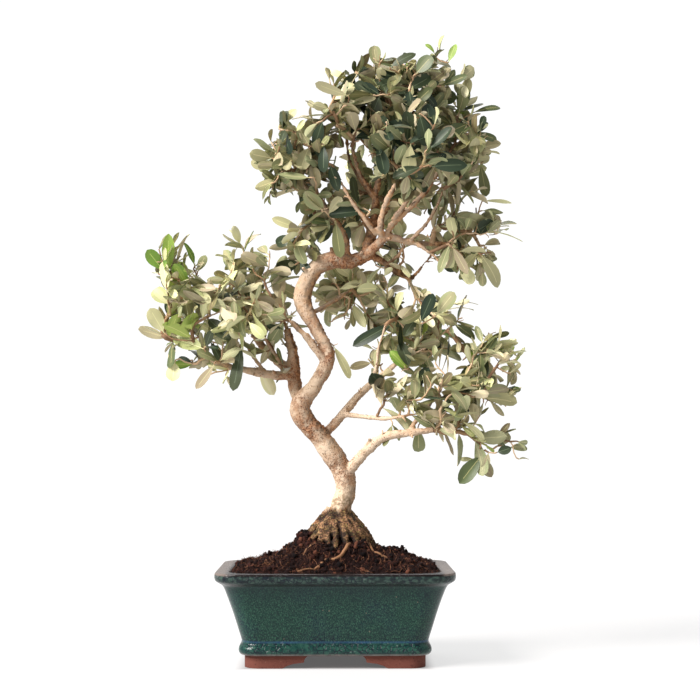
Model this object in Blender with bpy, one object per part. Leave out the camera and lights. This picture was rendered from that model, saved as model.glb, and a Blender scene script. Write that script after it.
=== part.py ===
"""Olive bonsai in a glazed rectangular pot.

The trunk winds up from a fluted root flare to a fork under the crown, boughs leave it on both sides, and each
bough carries one or more closed masses of foliage. Sizes are in millimetres and turn into metres where a mesh
is made. +X is to the right of the tree's front, +Y to its back, +Z up; the origin is on the ground under the
middle of the pot.
"""

import math

import bmesh
import bpy
from mathutils import Euler, Vector, noise
from mathutils.bvhtree import BVHTree

MM = 0.001
GAP = 0.3  # what two parts that touch keep between them
CUT_GAP = 0.35  # the same for a part that is cut round another
SHARP_ANGLE = math.radians(35)

# Pot: half its outside length at each height, from the underside to the rim. Its half depth and the radius of
# its corners follow from the half length, so every section has the same flare on all four sides.
POT_HALF_LENGTH = 100.5
POT_HALF_DEPTH = 75.5
POT_TOP = 80.0
POT_CORNER_RADIUS = 23.0
POT_CORNER_SHRINK = 0.35  # how much of the flare the corner radius gives up
POT_CORNER_STEPS = 4
POT_WALL = 6.0
POT_FLOOR = 8.0
FOOT_HEIGHT = 10.0
RIM_LAND = 11.0  # width of the flat top of the rim
RIM_EDGE = 1.5  # how far the rim's inner edge is rounded down
OUTER_PROFILE = (  # inset from the rim's outline, height
    (25.0, FOOT_HEIGHT + GAP),
    (20.3, 11.5),
    (19.2, 15.0),
    (20.4, 18.5),
    (21.8, 21.5),
    (19.2, 31.0),
    (14.8, 46.0),
    (10.4, 59.0),
    (6.8, 68.0),
    (2.8, 71.0),
    (0.6, 73.0),
    (0.0, 76.5),
    (0.5, 79.2),
    (1.8, POT_TOP),
)
HOLLOW_HEIGHTS = (FOOT_HEIGHT + POT_FLOOR + 4, 46.0, 66.0)  # where the hollow's wall bends
DRAIN_RADIUS = 8.0
DRAIN_OFFSET = 38.0
DRAIN_SIDES = 12

# Feet: one at each corner, joined to the next by an open arch.
FOOT_INSET = 24.5
FOOT_THICKNESS = 15.0
FOOT_LENGTH_X = 56.0
FOOT_LENGTH_Y = 38.0
FOOT_FLAT_X = 32.0  # length of the flat that stands on the ground
FOOT_FLAT_Y = 21.0
FOOT_RISE = ((0.0, 0.0), (4.0, 2.2), (9.0, 3.8))  # how the arch leaves the flat: distance past it, height
ARCH_STEP = 5.0  # height of the arch's step, from which it curves up to the pot
ARCH_RADIUS = 6.0
ARCH_ANGLES = (30, 60, 90)
CUTTER_REACH = 90.0  # half length of a cutter that runs right through under the pot

# Soil
SOIL_EDGE_TOP = 77.5
GROUND = 98.0  # top of the mound, where the trunk is cut flat
SOIL_PAD = (40.0, 35.0)  # half sizes of the flat patch under the trunk
SOIL_PAD_X = 5.0
MOUND_STEPS = 3
MOUND_ROUNDNESS = 0.7
SOIL_GAP = 0.4  # between the soil and the pot

# Limbs: (x, y, z, radius) at each point that their shape needs, from the foot to the tip.
TRUNK = (
    (4, 0, GROUND + GAP, 27.0),
    (3, 0, 110, 21.6),
    (3, 0, 118, 16.2),
    (5, 0, 127, 11.0),
    (9, -1, 146, 8.8),
    (6, -2, 163, 9.6),
    (-12, -6, 190, 9.2),
    (-31, -9, 216, 9.0),
    (-17, -7, 238, 6.7),
    (-6.5, -4, 262, 6.5),
    (-16.5, 1, 286, 5.9),
    (-29, 4, 313, 8.0),
    (-19.5, 3, 338, 7.6),
    (-4, 2, 347, 7.8),
    (14, 0, 346, 6.2),
    (32, -1, 354, 5.2),
)
TRUNK_STEPS = 2  # rings from one point to the next
TRUNK_SIDES = 12
ROOTS = 6  # buttress roots round the foot
ROOT_TOP = 128.0
ROOT_SPREAD = 0.17  # how far each root swells out, as a share of the foot's radius
FOOT_OVAL = 0.06  # how far from round the foot is

BOUGHS = {
    # left side
    "bough_left": ((-30, -6, 219, 6.0), (-34.5, 5, 231, 5.6), (-37, 10, 250, 6.0), (-38, 13, 268, 4.8),
                   (-43, 15, 288, 3.2)),
    "bough_left_low": ((-38, 8, 246, 4.4), (-52, 5, 246, 3.9), (-76, 0, 250, 3.3), (-103, -7, 257, 2.7),
                       (-122, -12, 274, 2.0)),
    "bough_left_back": ((-38, 11, 249, 4.8), (-50, 17, 258, 4.4), (-64, 25, 271, 3.6), (-74, 29, 284, 2.6)),
    "bough_left_inner": ((-8, -5, 256, 3.8), (-16, -9, 267, 3.5), (-27, -6, 281, 3.0), (-39, -2, 293, 2.2)),
    # right side
    "bough_right_low": ((9, -3, 158, 5.2), (17, -8, 169, 5.0), (29, -15, 182.5, 4.6), (43, -22, 192.5, 4.1),
                        (62, -28, 195.5, 3.5), (84, -31, 198, 2.7)),
    "bough_right_high": ((-16, -5, 191, 4.6), (-4, 1, 200, 4.3), (9, 8, 215, 4.0), (23, 15, 231, 3.5),
                         (38, 21, 244, 3.0), (54, 26, 257, 2.3)),
    "bough_right_middle": ((6, 6, 212, 2.6), (23, -2, 210, 2.3), (42, -14, 208, 2.0), (60, -24, 210, 1.6)),
    "bough_middle": ((-24, 4, 299, 2.4), (-13, 10, 305, 2.3), (2, 21, 315, 2.1), (14, 30, 324, 1.8)),
    # crown
    "bough_crown": ((26, 0, 350, 5.6), (30, 3, 364, 5.3), (33, 8, 378, 5.0), (40, 16, 391, 4.4),
                    (50, 25, 403, 3.4)),
    "bough_crown_left": ((8, 0, 346, 3.6), (10, 0, 358, 3.4), (7, 0, 372, 3.0), (-4, 0, 386, 2.6),
                         (-14, -2, 402, 2.0)),
    "bough_crown_right": ((26, -3, 350, 4.6), (35, -9, 358, 4.2), (46, -12, 366, 3.6), (62, -10, 362, 2.8),
                          (84, -4, 361, 2.3), (100, 0, 362, 1.8)),
    "bough_crown_high": ((43, -12, 364, 3.2), (50, -14, 377, 3.1), (66, -15, 392, 2.8), (80, -12, 408, 2.2),
                         (90, -8, 424, 1.7)),
    "bough_crown_front": ((41, -11, 363, 3.4), (39, -20, 376, 3.1), (43, -28, 392, 2.7), (52, -36, 410, 2.1)),
    "bough_crown_leader": ((34, 9, 381, 3.4), (35, 7, 400, 3.2), (39, 3, 428, 2.7), (43, 0, 455, 2.1)),
    "bough_crown_low": ((29, 0, 352, 3.8), (40, 4, 347, 3.3), (53, 8, 338, 2.9), (70, 12, 333, 2.4),
                        (86, 12, 345, 1.7)),
}
BOUGH_STEPS = 2
BOUGH_SIDES = 6

# Foliage: middle (x, y, z), half sizes (x, y, z), lean to the right in degrees.
FOLIAGE = {
    "foliage_crown_top": ((56, 2, 496), (52, 52, 49), -8),
    "foliage_crown_top_left": ((5, -8, 480), (34, 36, 34), 25),
    "foliage_crown_left": ((-36, -4, 438), (40, 42, 41), 20),
    "foliage_crown_left_low": ((-10, 10, 394), (34, 40, 26), 10),
    "foliage_crown_right": ((108, 2, 452), (36, 46, 46), 0),
    "foliage_crown_right_low": ((122, 8, 366), (40, 40, 40), -25),
    "foliage_crown_front": ((62, -57, 431), (40, 38, 42), 12),
    "foliage_crown_back": ((48, 56, 435), (44, 39, 52), -10),
    "foliage_middle": ((16, 42, 318), (46, 34, 34), 15),
    "foliage_middle_low": ((44, 44, 272), (32, 28, 23), 0),
    "foliage_left_tip": ((-135.5, -14, 318), (30, 32, 50), -10),
    "foliage_left_back": ((-78, 30, 320), (38, 36, 48), 5),
    "foliage_left_front": ((-84, -32, 300), (33, 24, 34), 20),
    "foliage_left_inner": ((-50, 10, 302), (22, 26, 24), 0),
    "foliage_left_low": ((-112, -10, 262), (36, 22, 26), 15),
    "foliage_right_inner": ((76, 30, 279), (33, 36, 38), 10),
    "foliage_right_outer": ((135.5, -4, 252), (30, 38, 43), 0),
    "foliage_right_low": ((95, -34, 220), (46, 33, 30), 5),
    "foliage_right_tip": ((134, -27, 180), (31, 15, 26), 30),
    "foliage_crown_hanging": ((-36, 6, 361), (24, 24, 26), 0),
}
FOLIAGE_LUMP = 0.36  # how far a mass swells and sinks, as a share of its size
FOLIAGE_GRAIN = 1.7  # lumps across half a mass
FOLIAGE_SEGMENTS = (13, 9)  # faces round a mass and from its top to its underside

FINISHES = {  # base colour, roughness
    "glaze": ((0.03, 0.085, 0.065, 1), 0.2),
    "clay": ((0.22, 0.085, 0.05, 1), 0.85),
    "soil": ((0.045, 0.02, 0.015, 1), 0.95),
    "bark": ((0.55, 0.4, 0.28, 1), 0.8),
    "leaves": ((0.12, 0.16, 0.07, 1), 0.55),
}


def clear_scene():
    for obj in list(bpy.data.objects):
        bpy.data.objects.remove(obj)


def new_collection(name):
    collection = bpy.data.collections.new(name)
    bpy.context.scene.collection.children.link(collection)
    return collection


def add_object(name, mesh, collection, finish=None):
    """Link a mesh as an object, with its own material."""
    obj = bpy.data.objects.new(name, mesh)
    collection.objects.link(obj)
    if finish:
        colour, roughness = FINISHES[finish]
        material = bpy.data.materials.new(f"{name}_{finish}")
        material.use_nodes = True
        shader = material.node_tree.nodes["Principled BSDF"]
        shader.inputs["Base Color"].default_value = colour
        shader.inputs["Roughness"].default_value = roughness
        shader.inputs["Metallic"].default_value = 0
        mesh.materials.append(material)
    return obj


def mesh_from(shape, name):
    """Turn a bmesh in millimetres into a mesh in metres, its faces pointing out."""
    bmesh.ops.scale(shape, vec=(MM, MM, MM), verts=shape.verts)
    bmesh.ops.recalc_face_normals(shape, faces=shape.faces)
    mesh = bpy.data.meshes.new(name)
    shape.to_mesh(mesh)
    shape.free()
    mesh.shade_smooth()
    mesh.set_sharp_from_angle(angle=SHARP_ANGLE)
    return mesh


def loft(name, rings):
    """A closed solid through rings of equally many points, with a flat cap on the first and the last."""
    shape = bmesh.new()
    loops = [[shape.verts.new(point) for point in ring] for ring in rings]
    for lower, upper in zip(loops, loops[1:]):
        for i in range(len(lower)):
            shape.faces.new((lower[i - 1], lower[i], upper[i], upper[i - 1]))
    shape.faces.new(loops[0])
    shape.faces.new(loops[-1])
    return mesh_from(shape, name)


def prism(name, outline, direction):
    """A flat outline pushed along a direction into a closed solid."""
    shape = bmesh.new()
    face = shape.faces.new([shape.verts.new(point) for point in outline])
    pushed = bmesh.ops.extrude_face_region(shape, geom=[face])["geom"]
    corners = [part for part in pushed if isinstance(part, bmesh.types.BMVert)]
    bmesh.ops.translate(shape, vec=direction, verts=corners)
    return mesh_from(shape, name)


def corner(centre, radius, start_angle, steps):
    """Points on a quarter circle, starting at start_angle degrees and turning left."""
    angles = (math.radians(start_angle + 90 * i / steps) for i in range(steps + 1))
    return [(centre[0] + radius * math.cos(a), centre[1] + radius * math.sin(a)) for a in angles]


def rounded_rectangle(half_x, half_y, radius, z):
    points = []
    for start, sign_x, sign_y in ((0, 1, 1), (90, -1, 1), (180, -1, -1), (270, 1, -1)):
        centre = (sign_x * (half_x - radius), sign_y * (half_y - radius))
        points += corner(centre, radius, start, POT_CORNER_STEPS)
    return [Vector((x, y, z)) for x, y in points]


def pot_section(inset, z):
    """The pot's outline at a height, a given distance inside the outline of its rim."""
    radius = POT_CORNER_RADIUS - POT_CORNER_SHRINK * inset
    return rounded_rectangle(POT_HALF_LENGTH - inset, POT_HALF_DEPTH - inset, radius, z)


def hollow_inset(z):
    """How far the wall of the hollow lies inside the rim's outline, at a height."""
    for (low_inset, low_z), (high_inset, high_z) in zip(OUTER_PROFILE[4:], OUTER_PROFILE[5:9]):
        if z <= high_z:
            share = (z - low_z) / (high_z - low_z)
            return POT_WALL + low_inset + share * (high_inset - low_inset)
    return RIM_LAND + RIM_EDGE


def make_pot(parts, cutters):
    """One shell, up its outside, over the rim and down its inside, with two drain holes in its floor."""
    rings = [pot_section(inset, z) for inset, z in OUTER_PROFILE]
    rings.append(pot_section(RIM_LAND, POT_TOP))
    rings.append(pot_section(RIM_LAND + RIM_EDGE, POT_TOP - RIM_EDGE))
    rings += [pot_section(hollow_inset(z), z) for z in reversed(HOLLOW_HEIGHTS)]
    pot = add_object("pot_body", loft("pot_body", rings), parts, "glaze")
    for name, x in (("drain_left", -DRAIN_OFFSET), ("drain_right", DRAIN_OFFSET)):
        shape = bmesh.new()
        bmesh.ops.create_cone(
            shape,
            cap_ends=True,
            segments=DRAIN_SIDES,
            radius1=DRAIN_RADIUS,
            radius2=DRAIN_RADIUS,
            depth=4 * POT_FLOOR,
        )
        bmesh.ops.translate(shape, vec=(x, 0, FOOT_HEIGHT + POT_FLOOR / 2), verts=shape.verts)
        cut(pot, add_cutter(name, mesh_from(shape, name), cutters))


def arch_outline(reach, flat, length):
    """The opening between two feet, in its own plane: from under the ground up each foot's cloud curve."""
    start = reach - flat
    step_end = reach - length + ARCH_RADIUS
    half = [(start, -1)] + [(start - past, height) for past, height in FOOT_RISE] + [(step_end, ARCH_STEP)]
    rise = FOOT_HEIGHT + 1 - ARCH_STEP
    for angle in ARCH_ANGLES:
        turn = math.radians(angle)
        half.append((step_end - ARCH_RADIUS * (1 - math.cos(turn)), ARCH_STEP + rise * math.sin(turn)))
    return half + [(-across, height) for across, height in reversed(half)]


def make_feet(parts, cutters):
    """Four L-shaped feet: a quarter of a rounded frame each, with the arches cut out of both legs."""
    reach_x = POT_HALF_LENGTH - FOOT_INSET
    reach_y = POT_HALF_DEPTH - FOOT_INSET
    radius = POT_CORNER_RADIUS - POT_CORNER_SHRINK * FOOT_INSET
    inner_x = reach_x - FOOT_THICKNESS
    inner_y = reach_y - FOOT_THICKNESS
    end_x = reach_x - FOOT_LENGTH_X
    end_y = reach_y - FOOT_LENGTH_Y
    outline = [(inner_x, inner_y), (end_x, inner_y), (end_x, reach_y)]
    outline += reversed(corner((reach_x - radius, reach_y - radius), radius, 0, POT_CORNER_STEPS))
    outline += [(reach_x, end_y), (inner_x, end_y)]
    front_arch = [(x, -CUTTER_REACH, z) for x, z in arch_outline(reach_x, FOOT_FLAT_X, FOOT_LENGTH_X)]
    side_arch = [(-CUTTER_REACH, y, z) for y, z in arch_outline(reach_y, FOOT_FLAT_Y, FOOT_LENGTH_Y)]
    front_mesh = prism("arch_front", front_arch, (0, 2 * CUTTER_REACH, 0))
    side_mesh = prism("arch_side", side_arch, (2 * CUTTER_REACH, 0, 0))
    arches = (add_cutter("arch_front", front_mesh, cutters), add_cutter("arch_side", side_mesh, cutters))
    for depth_name, sign_y in (("front", -1), ("back", 1)):
        for side_name, sign_x in (("left", -1), ("right", 1)):
            placed = [(sign_x * x, sign_y * y, 0) for x, y in outline]
            name = f"pot_foot_{depth_name}_{side_name}"
            foot = add_object(name, prism(name, placed, (0, 0, FOOT_HEIGHT)), parts, "clay")
            for arch in arches:
                cut(foot, arch)


def make_soil(parts):
    """The soil fills the pot and rises from the rim to a flat patch under the trunk."""
    heights = (HOLLOW_HEIGHTS[0] + SOIL_GAP, *HOLLOW_HEIGHTS[1:])
    rings = [pot_section(hollow_inset(z) + SOIL_GAP, z) for z in heights]
    edge_inset = RIM_LAND + RIM_EDGE + SOIL_GAP
    rings.append(pot_section(edge_inset, SOIL_EDGE_TOP))
    for step in range(1, MOUND_STEPS + 1):
        share = step / MOUND_STEPS
        half_x = (1 - share) * (POT_HALF_LENGTH - edge_inset) + share * SOIL_PAD[0]
        half_y = (1 - share) * (POT_HALF_DEPTH - edge_inset) + share * SOIL_PAD[1]
        radius = (1 - share) * POT_CORNER_RADIUS + share * (SOIL_PAD[1] - 1)
        height = SOIL_EDGE_TOP + (GROUND - SOIL_EDGE_TOP) * share**MOUND_ROUNDNESS
        ring = rounded_rectangle(half_x, half_y, radius, height)
        rings.append([point + Vector((share * SOIL_PAD_X, 0, 0)) for point in ring])
    add_object("soil", loft("soil", rings), parts, "soil")


def smooth_path(knots, steps):
    """Points on a smooth curve through the knots, each with its radius."""
    knots = [Vector(knot) for knot in knots]
    ends = [2 * knots[0] - knots[1]] + knots + [2 * knots[-1] - knots[-2]]
    path = []
    for before, start, end, after in zip(ends, ends[1:], ends[2:], ends[3:]):
        for i in range(steps):
            t = i / steps
            bend = (2 * before - 5 * start + 4 * end - after) * t * t
            twist = (3 * start - before - 3 * end + after) * t**3
            path.append(0.5 * (2 * start + (end - before) * t + bend + twist))
    return path + [knots[-1]]


def limb_mesh(name, knots, steps, sides, grow=0.0):
    """A tapering round limb through its knots; grow makes it fatter and longer all round."""
    path = smooth_path(knots, steps)
    places = [point.to_3d() for point in path]
    places[-1] += (places[-1] - places[-2]).normalized() * grow
    curve = bpy.data.curves.new(name, "CURVE")
    curve.dimensions = "3D"
    curve.bevel_depth = 1.0
    curve.bevel_resolution = (sides - 4) // 2
    curve.use_fill_caps = True
    spline = curve.splines.new("POLY")
    spline.points.add(len(path) - 1)
    for point, place, knot in zip(spline.points, places, path):
        point.co = (*place, 1)
        point.radius = knot[3] + grow
    carrier = bpy.data.objects.new(name, curve)
    bpy.context.scene.collection.objects.link(carrier)
    evaluated = carrier.evaluated_get(bpy.context.evaluated_depsgraph_get())
    shape = bmesh.new()
    shape.from_mesh(bpy.data.meshes.new_from_object(evaluated))
    bpy.data.objects.remove(carrier)
    bmesh.ops.remove_doubles(shape, verts=shape.verts, dist=0.001)
    return shape


def flute_roots(shape):
    """Swell the foot of the trunk into buttress roots that fade out up the stem."""
    foot_x, foot_y, foot_z, _ = TRUNK[0]
    for vert in shape.verts:
        fade = max(0.0, (ROOT_TOP - vert.co.z) / (ROOT_TOP - foot_z))
        around = math.atan2(vert.co.y - foot_y, vert.co.x - foot_x)
        roots = ROOT_SPREAD * math.cos(ROOTS * around + 0.6)
        oval = FOOT_OVAL * math.cos(2 * around - 1)
        swell = 1 + fade * (roots + oval)
        vert.co.x = foot_x + (vert.co.x - foot_x) * swell
        vert.co.y = foot_y + (vert.co.y - foot_y) * swell
        if fade >= 0.98:
            vert.co.z = foot_z


def trunk_mesh(name, grow=0.0):
    shape = limb_mesh(name, TRUNK, TRUNK_STEPS, TRUNK_SIDES, grow)
    flute_roots(shape)
    return mesh_from(shape, name)


def bough_mesh(name, grow=0.0):
    return mesh_from(limb_mesh(name, BOUGHS[name], BOUGH_STEPS, BOUGH_SIDES, grow), name)


def foliage_mesh(name, grow=0.0):
    """A lumpy closed mass, leant over and then stretched so that it exactly fills its named half sizes."""
    middle, half, lean = FOLIAGE[name]
    seed = Vector((17.0 * list(FOLIAGE).index(name), 5.0, 0))
    shape = bmesh.new()
    around, down = FOLIAGE_SEGMENTS
    bmesh.ops.create_uvsphere(shape, u_segments=around, v_segments=down, radius=1.0)
    for vert in shape.verts:
        coarse = noise.noise(vert.co * FOLIAGE_GRAIN + seed)
        fine = noise.noise(vert.co * FOLIAGE_GRAIN * 2.1 + seed)
        vert.co *= 1 + FOLIAGE_LUMP * (coarse + 0.6 * fine)
    turn = Euler((0, math.radians(lean), 0)).to_matrix()
    for vert in shape.verts:
        vert.co = turn @ Vector([size * part for size, part in zip(half, vert.co)])
    for axis in range(3):
        low = min(vert.co[axis] for vert in shape.verts)
        high = max(vert.co[axis] for vert in shape.verts)
        stretch = 2 * half[axis] / (high - low)
        for vert in shape.verts:
            vert.co[axis] = middle[axis] - half[axis] + (vert.co[axis] - low) * stretch
    bmesh.ops.triangulate(shape, faces=shape.faces)
    shape.normal_update()
    for vert in shape.verts:
        vert.co += vert.normal * grow
    return mesh_from(shape, name)


def add_cutter(name, mesh, cutters):
    cutter = add_object(name, mesh, cutters)
    cutter.hide_render = True
    cutter.display_type = "WIRE"
    return cutter


def cut(obj, cutter):
    boolean = obj.modifiers.new(cutter.name, "BOOLEAN")
    boolean.operation = "DIFFERENCE"
    boolean.object = cutter


def carve(obj, mesh):
    """Cut a mesh's shape out of an object's own mesh, where their surfaces cross."""
    ours, theirs = bmesh.new(), bmesh.new()
    ours.from_mesh(obj.data)
    theirs.from_mesh(mesh)
    crossings = BVHTree.FromBMesh(ours).overlap(BVHTree.FromBMesh(theirs))
    ours.free()
    theirs.free()
    if not crossings:
        return
    cutter = bpy.data.objects.new("carver", mesh)
    bpy.context.scene.collection.objects.link(cutter)
    cut(obj, cutter)
    evaluated = obj.evaluated_get(bpy.context.evaluated_depsgraph_get())
    carved = bpy.data.meshes.new_from_object(evaluated)
    obj.modifiers.clear()
    obj.data = carved
    bpy.data.objects.remove(cutter)


def drop_crumbs(obj):
    """Keep only the largest of the closed pieces that the cuts have left."""
    shape = bmesh.new()
    shape.from_mesh(obj.data)
    waiting = set(shape.faces)
    pieces = []
    while waiting:
        piece = set()
        front = {waiting.pop()}
        while front:
            piece |= front
            edges = [edge for face in front for edge in face.edges if len(edge.link_faces) == 2]
            front = {face for edge in edges for face in edge.link_faces} - piece
        waiting -= piece
        pieces.append(piece)
    pieces.sort(key=len)
    crumbs = [face for piece in pieces[:-1] for face in piece]
    bmesh.ops.delete(shape, geom=crumbs, context="FACES")
    shape.to_mesh(obj.data)
    shape.free()


def make_tree(parts):
    """Trunk, boughs and foliage in turn, each cut clear of what is already there."""
    kinds = [("trunk", trunk_mesh, "bark")]
    kinds += [(name, bough_mesh, "bark") for name in BOUGHS]
    kinds += [(name, foliage_mesh, "leaves") for name in FOLIAGE]
    grown = []
    for name, shape_of, finish in kinds:
        obj = add_object(name, shape_of(name), parts, finish)
        for mesh in grown:
            carve(obj, mesh)
        drop_crumbs(obj)
        grown.append(shape_of(name, CUT_GAP))


def main():
    clear_scene()
    parts = new_collection("olive_bonsai")
    cutters = new_collection("cutters")
    make_pot(parts, cutters)
    make_feet(parts, cutters)
    make_soil(parts)
    make_tree(parts)


main()
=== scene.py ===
"""The looks of the olive bonsai: pot, soil, bark, twigs and leaves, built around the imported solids.

Lengths are in millimetres and turn into metres where a mesh is made. +X is to the right of the
tree's front, +Y to its back, +Z up; the origin is on the ground under the middle of the pot.
"""

import math
import random

import bmesh
import bpy
import numpy as np
from mathutils import Euler, Matrix, Vector, noise
from mathutils.bvhtree import BVHTree


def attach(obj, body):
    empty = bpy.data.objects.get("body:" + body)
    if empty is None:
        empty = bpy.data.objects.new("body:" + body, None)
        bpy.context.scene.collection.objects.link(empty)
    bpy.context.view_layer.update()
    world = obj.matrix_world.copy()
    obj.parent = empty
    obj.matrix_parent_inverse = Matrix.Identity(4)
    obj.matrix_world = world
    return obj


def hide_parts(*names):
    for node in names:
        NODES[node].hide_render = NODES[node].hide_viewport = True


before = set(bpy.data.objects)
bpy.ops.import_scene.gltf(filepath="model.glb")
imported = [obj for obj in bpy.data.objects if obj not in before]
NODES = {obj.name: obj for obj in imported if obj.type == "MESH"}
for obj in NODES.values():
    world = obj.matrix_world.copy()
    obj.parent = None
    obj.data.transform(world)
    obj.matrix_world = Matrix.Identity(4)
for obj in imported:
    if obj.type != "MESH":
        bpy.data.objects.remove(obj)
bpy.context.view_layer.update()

MM = 0.001
UP = Vector((0, 0, 1))

# ---- meshes


class Heap:
    """Points and faces that end up in one mesh, each face with the number of its material."""

    def __init__(self):
        self.points = []
        self.faces = []
        self.tones = []
        self.count = 0

    def add(self, points, faces, tones=0):
        points = np.asarray(points, float).reshape(-1, 3)
        self.points.append(points)
        self.faces += [tuple(corner + self.count for corner in face) for face in faces]
        self.tones += [tones] * len(faces) if isinstance(tones, int) else tones
        self.count += len(points)

    def add_rings(self, rings):
        """A closed solid through rings of equally many points, capped at both ends."""
        count, sides = len(rings), len(rings[0])
        caps = [tuple(reversed(range(sides))), tuple(range((count - 1) * sides, count * sides))]
        self.add(np.concatenate(rings), wall_faces(count, sides) + caps)

    def add_tube(self, places, radii, sides, tone=0):
        """A closed round tube through places, with its own radius at each."""
        places = np.asarray(places, float)
        along = np.gradient(places, axis=0)
        along /= np.maximum(np.linalg.norm(along, axis=1), 1e-9)[:, None]
        across = np.cross(along[0], (0.3, 0.5, 0.81) if abs(along[0][2]) < 0.8 else (1, 0, 0))
        turns = np.arange(sides) * 2 * math.pi / sides
        rings = []
        for place, direction, radius in zip(places, along, radii):
            across = across - direction * (across @ direction)
            across /= np.linalg.norm(across)
            circle = np.outer(np.cos(turns), across) + np.outer(np.sin(turns), np.cross(direction, across))
            rings.append(place + radius * circle)
        last = (len(places) - 1) * sides
        end = len(places) * sides
        faces = wall_faces(len(places), sides)
        for i in range(sides):
            j = (i + 1) % sides
            faces += [(j, i, end), (last + i, last + j, end + 1)]
        self.add(np.concatenate(rings + [places[:1], places[-1:]]), faces, tone)

    def mesh(self, name, turn_out=False):
        """The finished mesh. Where it is closed, every face can be turned to point out."""
        made = bpy.data.meshes.new(name)
        made.from_pydata((np.concatenate(self.points) * MM).tolist(), [], self.faces)
        made.polygons.foreach_set("material_index", self.tones)
        made.shade_smooth()
        made.update()
        if turn_out:
            shape = bmesh.new()
            shape.from_mesh(made)
            bmesh.ops.recalc_face_normals(shape, faces=shape.faces)
            shape.to_mesh(made)
            shape.free()
        return made


def wall_faces(count, sides):
    """The faces between count rings of as many points as there are sides."""
    return [(low + i, low + (i + 1) % sides, low + sides + (i + 1) % sides, low + sides + i)
            for low in range(0, (count - 1) * sides, sides) for i in range(sides)]


def add_object(name, data):
    obj = bpy.data.objects.new(name, data)
    bpy.context.scene.collection.objects.link(obj)
    return obj


def piece(name, mesh, materials, stands_for=()):
    """Put a finished mesh into the scene as a piece that rides on the tree's one body."""
    obj = add_object(name, mesh)
    for material in materials:
        mesh.materials.append(material)
    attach(obj, "root")
    if stands_for:
        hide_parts(*stands_for)


def cut(obj, cutter):
    """Have one object's shape taken out of another's when that one is baked."""
    boolean = obj.modifiers.new("cut", "BOOLEAN")
    boolean.operation = "DIFFERENCE"
    boolean.object = cutter


def baked(obj, mesh_name):
    """The mesh of an object with its modifiers applied. The object itself is removed."""
    evaluated = obj.evaluated_get(bpy.context.evaluated_depsgraph_get())
    mesh = bpy.data.meshes.new_from_object(evaluated)
    mesh.name = mesh_name
    bpy.data.objects.remove(obj)
    return mesh


def smooth_but_edges(mesh, angle):
    """Shade a mesh smooth but for the edges that bend by more than angle degrees."""
    mesh.shade_smooth()
    mesh.set_sharp_from_angle(angle=math.radians(angle))


def smooth_path(knots, steps):
    """Points on a smooth curve through the knots, with every further number a knot holds."""
    knots = np.array(knots, float)
    ends = np.vstack([2 * knots[0] - knots[1], knots, 2 * knots[-1] - knots[-2]])
    path = []
    for before, start, end, after in zip(ends, ends[1:], ends[2:], ends[3:]):
        for i in range(steps):
            t = i / steps
            bend = (2 * before - 5 * start + 4 * end - after) * t * t
            twist = (3 * start - before - 3 * end + after) * t**3
            path.append(0.5 * (2 * start + (end - before) * t + bend + twist))
    path.append(knots[-1])
    return np.array(path)


def lumps(point, size, octaves=3, seed=0.0):
    """Smooth noise of about -1 to 1 whose largest lumps measure size millimetres."""
    place = Vector(point) / size + Vector((seed, 2 * seed, -seed))
    return noise.fractal(place, 0.8, 2.0, octaves)


# ---- random numbers


def jitter(rng, spread):
    """A small random step any way."""
    return Vector([rng.gauss(0, spread) for _ in range(3)])


def dealt(rng, shares):
    """The number of a tone, drawn from a row that holds each as often as its share."""
    return rng.choice([tone for tone, share in enumerate(shares) for _ in range(share)])


# ---- materials


def paint(red, green, blue):
    """A colour given as it shows on a screen, 0 to 255, as the linear colour that shaders take."""
    return (*(((part / 255 + 0.055) / 1.055) ** 2.4 for part in (red, green, blue)), 1)


class Nodes:
    """A tree of shader nodes. Every call but feed returns the output to go on from."""

    def __init__(self, tree):
        self.tree = tree

    def feed(self, socket, value):
        """Link a socket to an output or set its value; three parts of a colour are taken as paint."""
        if isinstance(value, bpy.types.NodeSocket):
            self.tree.links.new(value, socket)
        elif isinstance(value, tuple) and socket.type == "RGBA" and len(value) == 3:
            socket.default_value = paint(*value)
        else:
            socket.default_value = value

    def node(self, kind, output, inputs, **settings):
        made = self.tree.nodes.new(kind)
        for name, value in settings.items():
            setattr(made, name, value)
        for key, value in inputs.items():
            self.feed(made.inputs[key], value)
        return made.outputs[output]

    def math(self, operation, *values):
        return self.node("ShaderNodeMath", 0, dict(enumerate(values)), operation=operation)

    def times(self, first, *others):
        """Several values multiplied together."""
        for other in others:
            first = self.math("MULTIPLY", first, other)
        return first


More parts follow.
